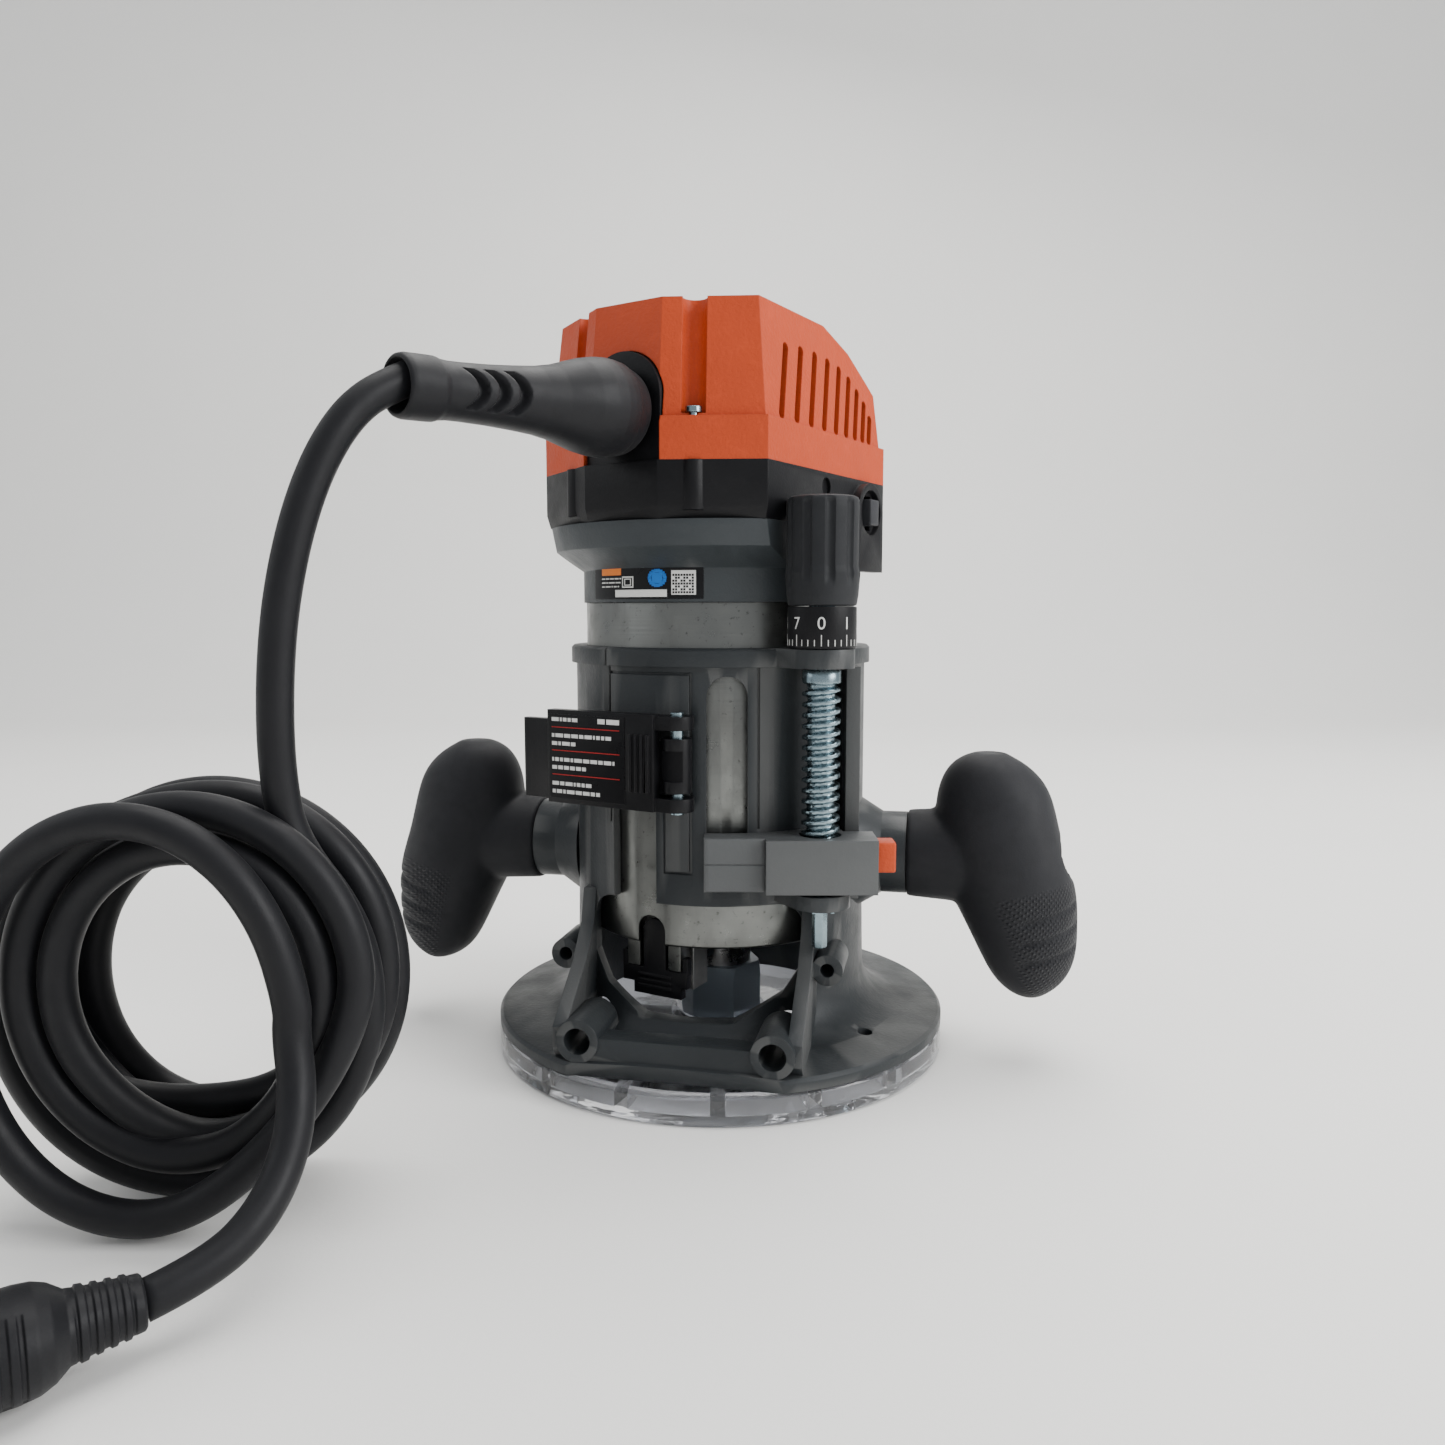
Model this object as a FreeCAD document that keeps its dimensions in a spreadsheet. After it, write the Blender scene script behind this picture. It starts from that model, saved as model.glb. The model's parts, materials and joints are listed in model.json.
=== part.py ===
import FreeCAD, Part
import os
import re
from math import cos, pi, radians, sin, sqrt, tan

import Sketcher
from FreeCAD import Placement, Rotation, Vector

# Fixed-base router. Millimetres, +Z up. The origin is on the spindle's axis at the
# underside of the sub-base, -Y is the front and the palm handles lie along X.
# Angles named *_turn are turns about Z from the front (-Y), positive towards +X.

doc = FreeCAD.newDocument("FixedBaseRouter")
sheet = doc.addObject("Spreadsheet::Sheet", "Sizes")

SIZES = {
    # clear sub-base
    "sub_base_radius": 75.0,
    "sub_base_thickness": 9.3,
    "sub_base_skin": 2.8,
    "bushing_seat_radius": 17.5,
    "bushing_seat_depth": 2.4,
    "bit_opening_radius": 15.1,
    "sub_base_screw_circle": 60.0,
    "sub_base_screw_radius": 2.0,
    # base casting
    "plate_top": 13.0,
    "bore_radius": 44.75,
    "barrel_radius": 48.0,
    "barrel_bottom": 57.0,
    "flange_bottom": 128.3,
    "flange_top": 133.9,
    "flange_radius": 49.6,
    "window_half_width": 33.0,
    "window_top": 56.5,
    "chord_distance": 67.5,
    "rod_spacing": 58.0,
    "rod_height": 19.3,
    "rod_hole_radius": 4.0,
    "rod_boss_radius": 6.5,
    "rod_boss_length": 20.0,
    "ear_spacing": 82.8,
    "ear_height": 37.0,
    "ear_front": 41.0,
    "ear_hole_radius": 2.1,
    "ear_hole_depth": 12.0,
    "stem_radius": 13.4,
    "stem_height": 65.5,
    "stem_end": 63.0,
    "slot_turn": 14.2,
    "slot_width": 12.2,
    "split_turn": -33.0,
    # handles
    "handle_depth": 38.0,
    # motor
    "motor_radius": 44.45,
    "motor_wall": 3.6,
    "skirt_bottom": 42.3,
    "barrel_end": 147.5,
    "collar_radius": 45.3,
    "head_bottom": 171.0,
    "head_turn": -20.0,
    "head_flat": 40.7,
    "band_bottom": 187.5,
    "band_top": 199.7,
    "cap_top": 233.4,
    "cord_height": 201.5,
    "relief_distance": 64.0,
    "relief_turn": -32.0,
    "relief_droop": 2.5,
    "lock_turn": -17.0,
    "lock_height": 31.2,
    # rotor
    "spindle_end_radius": 10.2,
    "lower_journal_radius": 7.5,
    "upper_journal_radius": 5.0,
    "shaft_radius": 6.0,
    "armature_radius": 21.7,
    "stator_bore_radius": 22.5,
    "nut_across_flats": 24.0,
    "nut_bottom": 2.8,
    "nut_top": 25.7,
    "collet_bore_radius": 6.35,
    "collet_radius": 8.5,
    # depth adjuster
    "screw_turn": 42.5,
    "screw_distance": 58.0,
    "thread_radius": 5.7,
    "journal_radius": 4.0,
    "dial_bottom": 134.1,
    "dial_top": 146.1,
    "knob_top": 177.4,
    "bracket_turn": 12.0,
    "bracket_bottom": 63.0,
    "bracket_top": 79.0,
    "bracket_front": 59.5,
    "bracket_right": 45.5,
    # clamp lever
    "lever_turn": -18.0,
    "pin_across": 15.0,
    "pin_depth": 51.5,
    "lever_face": 57.5,
    "lever_bottom": 86.0,
    "lever_top": 115.0,
    # running gaps
    "gap": 0.3,
    "fit_gap": 0.06,
    # cord
    "cord_radius": 4.2,
    "hank_width": 100.0,
    "hank_height": 104.0,
    "hank_depth": 46.0,
}

for row, (alias, number) in enumerate(SIZES.items(), 1):
    sheet.set(f"A{row}", alias)
    sheet.set(f"B{row}", str(number))
    sheet.setAlias(f"B{row}", alias)
doc.recompute()

nodes = {}


def size(alias):
    """The value of a cell of the sheet."""
    return float(sheet.get(alias))


def bind(thing, field, formula):
    """Bind a property to a formula whose words are cells of the sheet."""
    names = lambda word: "Sizes." + word.group() if word.group() in SIZES else word.group()
    thing.setExpression(field, re.sub(r"[a-z_]{3,}", names, str(formula)))


AXES = {
    "Z": Rotation(),
    "-Z": Rotation(Vector(1, 0, 0), 180),
    "X": Rotation(Vector(0, 1, 0), 90),
    "-X": Rotation(Vector(0, 1, 0), -90),
    "-Y": Rotation(Vector(1, 0, 0), 90),
    "Y": Rotation(Vector(1, 0, 0), -90),
}


def place(thing, x, y, z, axis="Z"):
    """Point a primitive's own Z along an axis and bind its corner or centre."""
    thing.Placement = Placement(Vector(), AXES[axis])
    for field, formula in zip("xyz", (x, y, z)):
        bind(thing, "Placement.Base." + field, formula)
    return thing


def cylinder(name, radius, height, x=0, y=0, z=0, axis="Z", angle=360):
    solid = doc.addObject("Part::Cylinder", name)
    bind(solid, "Radius", radius)
    bind(solid, "Height", height)
    solid.Angle = angle
    return place(solid, x, y, z, axis)


def cone(name, start, end, height, x=0, y=0, z=0, axis="Z"):
    solid = doc.addObject("Part::Cone", name)
    bind(solid, "Radius1", start)
    bind(solid, "Radius2", end)
    bind(solid, "Height", height)
    return place(solid, x, y, z, axis)


def box(name, across, along, tall, x, y, z):
    """A box from its lowest corner, with its sizes along X, Y and Z."""
    solid = doc.addObject("Part::Box", name)
    bind(solid, "Length", across)
    bind(solid, "Width", along)
    bind(solid, "Height", tall)
    return place(solid, x, y, z)


def prism(name, sides, corner_radius, height, x=0, y=0, z=0):
    solid = doc.addObject("Part::Prism", name)
    solid.Polygon = sides
    bind(solid, "Circumradius", corner_radius)
    bind(solid, "Height", height)
    return place(solid, x, y, z)


def fuse(name, *pieces):
    joined = doc.addObject("Part::MultiFuse", name)
    joined.Shapes = list(pieces)
    return joined


def cut(name, base, *tools):
    """The base less every tool."""
    result = doc.addObject("Part::Cut", name)
    result.Base = base
    result.Tool = tools[0] if len(tools) == 1 else fuse(name + "_tools", *tools)
    return result


def common(name, *pieces):
    result = doc.addObject("Part::MultiCommon", name)
    result.Shapes = list(pieces)
    return result


def mirrored(name, source, normal):
    copy = doc.addObject("Part::Mirroring", name)
    copy.Source = source
    copy.Normal = normal
    return copy


def collect(name, *pieces):
    group = doc.addObject("Part::Compound", name)
    group.Links = list(pieces)
    return group


def turned(thing, angle):
    """Turn a finished piece about Z from the front by an angle or by a cell."""
    degrees = size(angle) if isinstance(angle, str) else angle
    thing.Placement = Placement(Vector(), Rotation(Vector(0, 0, 1), degrees))
    return thing


def node(name, thing):
    """Name a finished sub-part: the label is its file's name."""
    thing.Label = name
    nodes[name] = thing
    return thing


def new_body(name):
    return doc.addObject("PartDesign::Body", name)


def datum(body, role):
    return next(item for item in body.Origin.OriginFeatures if item.Role == role)


def sketch_on(body, role, name, offset=0):
    sketch = body.newObject("Sketcher::SketchObject", name)
    sketch.AttachmentSupport = [(datum(body, role), "")]
    sketch.MapMode = "FlatFace"
    bind(sketch, "AttachmentOffset.Base.z", offset)
    return sketch


def outline(body, role, name, points, offset=0):
    """A closed outline. A point with four numbers ends an arc through its last two."""
    sketch = sketch_on(body, role, name, offset)
    at = [Vector(p[0], p[1], 0) for p in points]
    for i, point in enumerate(points):
        if len(point) == 4:
            middle = Vector(point[2], point[3], 0)
            sketch.addGeometry(Part.Arc(at[i - 1], middle, at[i]))
        else:
            sketch.addGeometry(Part.LineSegment(at[i - 1], at[i]))
    return sketch


def circles(body, role, name, centres, radius, offset=0):
    """Circles of one bound radius."""
    sketch = sketch_on(body, role, name, offset)
    for x, y in centres:
        sketch.addGeometry(Part.Circle(Vector(x, y, 0), Vector(0, 0, 1), 1.0))
        index = sketch.GeometryCount - 1
        constraint = sketch.addConstraint(Sketcher.Constraint("Radius", index, 1.0))
        bind(sketch, f"Constraints[{constraint}]", radius)
    return sketch


def pad(body, sketch, name, length, midplane=False, backwards=False, taper=0):
    feature = body.newObject("PartDesign::Pad", name)
    feature.Profile = sketch
    bind(feature, "Length", length)
    feature.Midplane = midplane
    feature.Reversed = backwards
    feature.TaperAngle = taper
    return feature


def pocket(body, sketch, name, length, midplane=False, backwards=False):
    feature = body.newObject("PartDesign::Pocket", name)
    feature.Profile = sketch
    bind(feature, "Length", length)
    feature.Midplane = midplane
    feature.Reversed = backwards
    return feature


def revolved(name, points):
    """A body turned about Z from half its section, given as (radius, height)."""
    body = new_body(name)
    sketch = outline(body, "XZ_Plane", name + "_section", points)
    feature = body.newObject("PartDesign::Revolution", name + "_turned")
    feature.Profile = sketch
    feature.ReferenceAxis = (sketch, ["V_Axis"])
    feature.Angle = 360
    return body


def ring(name, outer, inner, height, x=0, y=0, z=0, axis="Z"):
    hole = cylinder(name + "_hole", inner, height, x, y, z, axis)
    return cut(name, cylinder(name + "_disc", outer, height, x, y, z, axis), hole)


def round_places(radius, count, first_angle):
    """Points evenly round a circle about the spindle's axis."""
    angles = [radians(first_angle + i * 360 / count) for i in range(count)]
    return [(radius * cos(a), radius * sin(a)) for a in angles]


def front_place(radius, turn):
    """The point at a radius and a turn from the front."""
    return radius * sin(radians(turn)), -radius * cos(radians(turn))


# ---------------------------------------------------------------- sub-base

SCREW_PLACES = round_places(size("sub_base_screw_circle"), 4, 45)


def make_sub_base():
    """Clear moulded disc: a skin below, a rim, radial ribs and four screw bosses."""
    radius, top = size("sub_base_radius"), size("sub_base_thickness")
    seat, opening = size("bushing_seat_radius"), size("bit_opening_radius")
    seat_top = size("bushing_seat_depth")
    bevel = 1.0
    body = revolved("sub_base", [
        (seat, 0), (radius - bevel, 0), (radius, bevel), (radius, top - bevel),
        (radius - bevel, top), (opening, top), (opening, seat_top), (seat, seat_top)])
    ribs, inner, outer, half = 16, 49.0, 71.8, radians(9.6)
    corners = [(r * cos(a), r * sin(a)) for r, a in
               ((inner, -half), (outer, -half), (outer, half), (inner, half))]
    corners[2] += (outer, 0)
    corners[0] += (inner, 0)
    cell = outline(body, "XY_Plane", "cell_outline", corners, "sub_base_thickness")
    cells = pocket(body, cell, "cell", "sub_base_thickness - sub_base_skin")
    pattern = body.newObject("PartDesign::PolarPattern", "cells")
    pattern.Originals = [cells]
    pattern.Axis = (datum(body, "Z_Axis"), [""])
    pattern.Angle = 360
    pattern.Occurrences = ribs
    body.Tip = pattern
    doc.recompute()
    bosses = circles(body, "XY_Plane", "boss_outline", SCREW_PLACES, 5.5, "sub_base_skin")
    pad(body, bosses, "bosses", "sub_base_thickness - sub_base_skin")
    holes = circles(body, "XY_Plane", "hole_outline", SCREW_PLACES, "sub_base_screw_radius + 0.3")
    pocket(body, holes, "holes", "sub_base_thickness", backwards=True)
    sinks = circles(body, "XY_Plane", "sink_outline", SCREW_PLACES, 4.7)
    pocket(body, sinks, "sinks", 3.2, backwards=True)
    return node("sub_base", body)


def make_sub_base_screws():
    screws = []
    for i, (x, y) in enumerate(SCREW_PLACES):
        head = cylinder(f"base_screw_head_{i}", 4.4, 2.4, x, y, 0.7)
        shank = cylinder(f"base_screw_shank_{i}", "sub_base_screw_radius", 9.4, x, y, 3.1)
        recess = prism(f"base_screw_recess_{i}", 6, 1.7, 1.5, x, y, 0.7)
        screws.append(cut(f"base_screw_{i}", fuse(f"base_screw_solid_{i}", head, shank), recess))
    return node("sub_base_screws", collect("SubBaseScrews", *screws))


# ------------------------------------------------------------ base casting


def slab(name, turn, low_t, high_t, low_q, high_q, low_z, high_z):
    """A box across a turned frame: t runs to the right and q runs outwards."""
    solid = box(name, high_t - low_t, high_q - low_q, high_z - low_z, low_t, -high_q, low_z)
    spin = Rotation(Vector(0, 0, 1), turn)
    solid.setExpression("Placement.Base.x", None)
    solid.setExpression("Placement.Base.y", None)
    solid.setExpression("Placement.Base.z", None)
    solid.Placement = Placement(spin.multVec(Vector(low_t, -high_q, low_z)), spin)
    return solid


def post(name, turn, across, outwards, radius, low_z, high_z):
    """An upright cylinder at a place given in a turned frame."""
    place_at = Rotation(Vector(0, 0, 1), turn).multVec(Vector(across, -outwards, 0))
    return cylinder(name, radius, high_z - low_z, place_at.x, place_at.y, low_z)


def rod(name, turn, start, end, radius):
    """A cylinder between two (across, outwards, height) points of a turned frame."""
    spin = Rotation(Vector(0, 0, 1), turn)
    a = spin.multVec(Vector(start[0], -start[1], start[2]))
    b = spin.multVec(Vector(end[0], -end[1], end[2]))
    solid = cylinder(name, radius, a.distanceToPoint(b))
    for field in "xyz":
        solid.setExpression("Placement.Base." + field, None)
    solid.Placement = Placement(a, Rotation(Vector(0, 0, 1), b - a))
    return solid


def arc_groove(name, start_turn, end_turn, low_z, high_z, depth):
    """A shallow groove round the barrel between two turns."""
    sweep = end_turn - start_turn
    outer = cylinder(name + "_outer", "barrel_radius + 1", high_z - low_z, angle=sweep)
    inner = cylinder(name + "_inner", f"barrel_radius - {depth}", high_z - low_z, angle=sweep)
    for piece in (outer, inner):
        for field in "xyz":
            piece.setExpression("Placement.Base." + field, None)
        spin = Rotation(Vector(0, 0, 1), start_turn - 90)
        piece.Placement = Placement(Vector(0, 0, low_z), spin)
    return cut(name, outer, inner)


def make_window():
    """The opening under the barrel, front and rear, seen along Y."""
    body = new_body("window")
    w, top = size("window_half_width"), size("window_top")
    sill, shoulder = 21.0, 28.5
    right = [(14, sill), (27.5, shoulder), (w, 37), (w, top - 8), (w - 7, top, w - 2, top - 2.4)]
    left = [(-26, top), (-w, top - 8, -w + 2, top - 2.4), (-w, 37), (-27.5, shoulder), (-14, sill)]
    sketch = outline(body, "XZ_Plane", "window_outline", right + left)
    pad(body, sketch, "window_through", 200, midplane=True)
    return body


def make_fin():
    """Upright web from a rod boss up to the right-hand leg, seen from the side."""
    body = new_body("fin")
    sketch = outline(body, "YZ_Plane", "fin_outline", [
        (-65, 16), (-65, 22.5), (-58, 28), (-46, 37), (-38, 47), (-35, 57), (-28, 57), (-28, 12),
        (-62, 12)], 33.0)
    pad(body, sketch, "fin_thickness", 4.2)
    return body


def make_base_casting():
    """One casting: plate, two legs, windows, clamp barrel, flange and handle stems."""
    bore, barrel = size("bore_radius"), size("barrel_radius")
    bottom, plate, top = size("sub_base_thickness"), size("plate_top"), size("flange_top")
    radius, flange, shoulder = size("sub_base_radius"), size("flange_radius"), size("flange_bottom")
    shell = revolved("casting_shell", [
        (bore, bottom), (radius, bottom), (radius, plate - 1), (radius - 1, plate), (61, plate + 1.6),
        (barrel + 0.5, 27, 52.2, 18.6), (barrel, 57), (barrel, shoulder), (flange, shoulder),
        (flange, top - 0.8), (flange - 0.8, top), (bore, top)])
    opened = cut("opened_shell", shell, make_window())
    half_rod, rod_z = size("rod_spacing") / 2, size("rod_height")
    front = [box("front_bar", 58, 8, 11, -29, -66, 9.3), make_fin()]
    front.append(cylinder("rod_boss", "rod_boss_radius", "rod_boss_length", half_rod, -47, rod_z, "-Y"))
    front.append(mirrored("fin_left", front[1], (1, 0, 0)))
    front.append(mirrored("rod_boss_left", front[2], (1, 0, 0)))
    frame_front = fuse("frame_front", *front)
    parts = [opened, frame_front, mirrored("frame_rear", frame_front, (0, 1, 0))]
    for side, name in ((1, "right"), (-1, "left")):
        x = side * size("ear_spacing") / 2
        axis = "X" if side > 0 else "-X"
        parts.append(cylinder("ear_" + name, 4.75, 18, x, -23, "ear_height", "-Y"))
        parts.append(cylinder("stem_" + name, "stem_radius", 24, side * 39, 0, "stem_height", axis))
        parts.append(cone("flare_" + name, 19.5, "stem_radius", 10, side * 45, 0, "stem_height", axis))
    screw_turn, distance = size("screw_turn"), size("screw_distance")
    parts += [
        post("lobe_top", screw_turn, 0, distance, 9.6, 128.3, 133.9),
        slab("lobe_top_neck", screw_turn, -9.6, 9.6, 44, distance, 128.3, 133.9),
        post("lobe_low", screw_turn, 0, distance, 9.0, 57.6, 62.0),
        slab("lobe_low_neck", screw_turn, -9.0, 9.0, 44, distance, 57.6, 62.0),
        slab("pocket_wall", size("bracket_turn"), 37.4, 41.6, 20, 44.3, 58, 128.4),
    ]
    lever, pin_q = size("lever_turn"), size("pin_depth")
    parts += [
        slab("lug_left", lever, -25, -15.0, 38, 53.2, 93, 107),
        slab("lug_right", lever, -11.0, 6.5, 42, 53.2, 93, 107),
    ]
    slot, half_slot = size("slot_turn"), size("slot_width") / 2
    split = size("split_turn")
    tools = [
        cylinder("bore_cut", "bore_radius", 140, z=5),
        box("chord_front", 160, 20, 5, -80, "-chord_distance - 20", 9.3),
        box("chord_rear", 160, 20, 5, -80, "chord_distance", 9.3),
        slab("slot_cut", slot, -half_slot, half_slot, 38, 52, 61, 119.5),
        rod("slot_round", slot, (0, 38, 119.5), (0, 52, 119.5), half_slot),
        slab("split_cut", split, -0.4, 0.4, 40, 58, 80, 140),
        slab("opening_cut", -21.9, -8.2, 8.2, 38, 52.5, 50, 85),
        post("screw_hole_top", screw_turn, 0, distance, size("journal_radius") + 0.06, 120, 140),
        post("screw_hole_low", screw_turn, 0, distance, size("thread_radius") + 0.08, 50, 64),
        rod("bolt_hole", lever, (-27, pin_q - 0.6, 100), (10, pin_q - 0.6, 100), 2.15),
        slab("panel_line_right", 1.2, -0.45, 0.45, 47.3, 52, 66, 126.6),
        slab("panel_line_left", -8.6, -0.4, 0.4, 47.3, 52, 66, 86),
        slab("pocket_line", 25.5, -0.35, 0.35, 47.3, 52, 80, 128.3),
        arc_groove("panel_line_top", split, 1.2, 125.9, 126.7, 0.7),
        arc_groove("panel_line_low", -8.6, 1.2, 66, 66.8, 0.7),
    ]
    for i, (x, y) in enumerate(SCREW_PLACES):
        tools.append(cylinder(f"base_thread_{i}", "sub_base_screw_radius + 0.05", 6, x, y, 8))
    for side, name in ((1, "right"), (-1, "left")):
        rod_x, ear_x = side * half_rod, side * size("ear_spacing") / 2
        tools.append(cylinder("rod_hole_" + name, "rod_hole_radius", 150, rod_x, 75, rod_z, "-Y"))
        tools.append(cylinder("ear_hole_" + name, "ear_hole_radius", "ear_hole_depth", ear_x,
                              "-ear_front + ear_hole_depth", "ear_height", "-Y"))
        tools.append(cylinder("handle_thread_" + name, 3.1, 18, side * 46, 0, "stem_height",
                              "X" if side > 0 else "-X"))
        tools.append(cylinder("plate_hole_" + name, 2.4, 8, side * 52, -30 if side > 0 else 30, 8))
    return node("base_casting", cut("BaseCasting", fuse("casting_solid", *parts), *tools))


def make_handle(side, name):
    """Palm handle: a smooth drop lofted through ovals, with a round collar at the stem."""
    # height, inner and outer edge, and half depth along Y as a share of handle_depth / 2
    levels = ((20.6, 99.5, 107.0, 0.30), (24.0, 93.5, 111.8, 0.56), (32.0, 88.0, 116.6, 0.76),
              (44.0, 82.0, 117.6, 0.92), (56.0, 76.2, 116.6, 1.0), (68.0, 73.0, 113.0, 1.0),
              (80.0, 72.0, 110.0, 0.92), (90.0, 73.6, 106.0, 0.76), (96.5, 78.0, 99.0, 0.52),
              (99.4, 84.0, 94.0, 0.26))
    ovals = []
    for height, inner, outer, share in levels:
        centre = Vector(side * (inner + outer) / 2, 0, height)
        half_x, half_y = (outer - inner) / 2, share * size("handle_depth") / 2
        along_x = half_x >= half_y
        oval = Part.Ellipse(centre, max(half_x, half_y), min(half_x, half_y))
        if not along_x:
            oval.rotate(Placement(centre, Rotation(Vector(0, 0, 1), 90), Vector()))
        ovals.append(Part.Wire(oval.toShape()))
    grip = Part.makeLoft(ovals, True)
    start = size("stem_end") + 0.05
    collar = Part.makeCone(14.2, 15.6, 22, Vector(side * start, 0, size("stem_height")),
                           Vector(side, 0, 0))
    bolt_room = Part.makeCylinder(3.2, 60, Vector(side * start, 0, size("stem_height")),
                                  Vector(side, 0, 0))
    head_room = Part.makeCylinder(6.2, 40, Vector(side * 93, 0, size("stem_height")),
                                  Vector(side, 0, 0))
    handle = doc.addObject("Part::Feature", name)
    handle.Shape = grip.fuse(collar).cut(bolt_room).cut(head_room).removeSplitter()
    return node(name, handle)


def make_handle_bolts():
    bolts = []
    for side, name in ((1, "right"), (-1, "left")):
        axis = "X" if side > 0 else "-X"
        shank = cylinder("bolt_shank_" + name, 3.0, 46.6, side * 47, 0, "stem_height", axis)
        head = cylinder("bolt_head_" + name, 5.6, 6, side * 93.2, 0, "stem_height", axis)
        bolts.append(fuse("bolt_" + name, shank, head))
    return node("handle_bolts", collect("HandleBolts", *bolts))


def make_handle_plugs():
    """Rubber discs that close the bolt wells in the palm faces."""
    for side, name in ((1, "right"), (-1, "left")):
        axis = "X" if side > 0 else "-X"
        plug = cylinder("plug_" + name, 6.1, 8.0, side * 103.6, 0, "stem_height", axis)
        node("handle_plug_" + name, plug)


# -------------------------------------------------------------- clamp lever


def make_clamp():
    """Over-centre lever: its pin pulls a bolt that closes the split barrel."""
    turn, across, depth = size("lever_turn"), size("pin_across"), size("pin_depth")
    face, low, high = size("lever_face"), size("lever_bottom"), size("lever_top")
    skin = 3.6
    plate = slab("lever_plate", turn, -28, 10.5, face - skin, face, low + 0.5, high)
    tab = slab("lever_tab", turn, -37, -27, face - 3.7, face - 0.7, low + 1.5, high - 3)
    tab_edge = rod("lever_tab_edge", turn, (-37, face - 2.2, low + 1.5),
                   (-37, face - 2.2, high - 3), 1.5)
    pieces = [plate, tab, tab_edge]
    for name, base in (("low", low + 0.5), ("high", high - 4.5)):
        pieces.append(slab("lever_wall_" + name, turn, -24, across, depth - 1.7, face - 1, base,
                           base + 4.0))
        pieces.append(rod("lever_ear_" + name, turn, (across, depth, base),
                          (across, depth, base + 4.0), 5.0))
    for i in range(4):
        t = 2.2 + 2.0 * i
        pieces.append(slab(f"lever_rib_{i}", turn, t, t + 0.9, face - 0.5, face + 0.6, low + 6, high - 6))
    pin_room = rod("lever_pin_room", turn, (across, depth, 80), (across, depth, 120), 2.06)
    node("clamp_lever", cut("ClampLever", fuse("lever_solid", *pieces), pin_room))
    pin = rod("lever_pin", turn, (across, depth, low - 0.5), (across, depth, high + 0.5), 2.0)
    node("lever_pin", pin)
    link = fuse("link_solid",
                rod("link_eye", turn, (across, depth, 92), (across, depth, 108), 4.4),
                slab("link_head", turn, 9.0, across, depth - 3.2, depth + 2.0, 93, 107))
    link_room = rod("link_pin_room", turn, (across, depth, 85), (across, depth, 115), 2.03)
    link_thread = rod("link_thread", turn, (5, depth - 0.6, 100), (12.8, depth - 0.6, 100), 2.05)
    window = slab("link_recess", turn, 10, 20.5, depth + 2.6, depth + 6, 95.5, 104.5)
    node("clamp_link", cut("ClampLink", link, link_room, link_thread, window))
    shank = rod("clamp_bolt_shank", turn, (-27.5, depth - 0.6, 100), (12.6, depth - 0.6, 100), 2.0)
    head = rod("clamp_bolt_head", turn, (-29, depth - 1.6, 100), (-25.1, depth - 1.6, 100), 3.6)
    node("clamp_bolt", fuse("ClampBolt", shank, head))


# ------------------------------------------------------------ depth adjuster


def make_depth_adjuster():
    """Captive screw beside the barrel with its knob, washer and turning scale ring."""
    turn, distance = size("screw_turn"), size("screw_distance")
    x, y = front_place(distance, turn)
    thread = cylinder("screw_thread", "thread_radius", 70.0, x, y, 57.9)
    journal = cylinder("screw_journal", "journal_radius", 27, x, y, 127.8)
    tail = prism("screw_tail", 6, 2.3, 13.2, x, y, 44.8)
    node("depth_screw", fuse("DepthScrew", thread, journal, tail))
    washer = ring("StarWasher", 6.7, 2.35, 1.0, x, y, 56.5)
    node("star_washer", washer)
    knob = revolved("knob_solid", [
        (0, 146.3), (9.6, 146.3), (10.4, 151), (11.1, 157.5), (11.1, 160), (10.2, 163),
        (9.9, 174.6), (8.2, 177.4), (0, 177.4)])
    flutes = [cylinder(f"flute_{i}", 1.1, 22, *at, 152.5)
              for i, at in enumerate(round_places(11.4, 12, 0))]
    bored = cut("knob_fluted", knob, cylinder("knob_bore", "journal_radius", 8.6, z=146.2), *flutes)
    bored.Placement = Placement(Vector(x, y, 0), Rotation())
    node("depth_knob", bored)
    scale = ring("DepthRing", 10.0, "journal_radius + fit_gap", "dial_top - dial_bottom", x, y,
                 "dial_bottom")
    node("depth_ring", scale)


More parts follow.
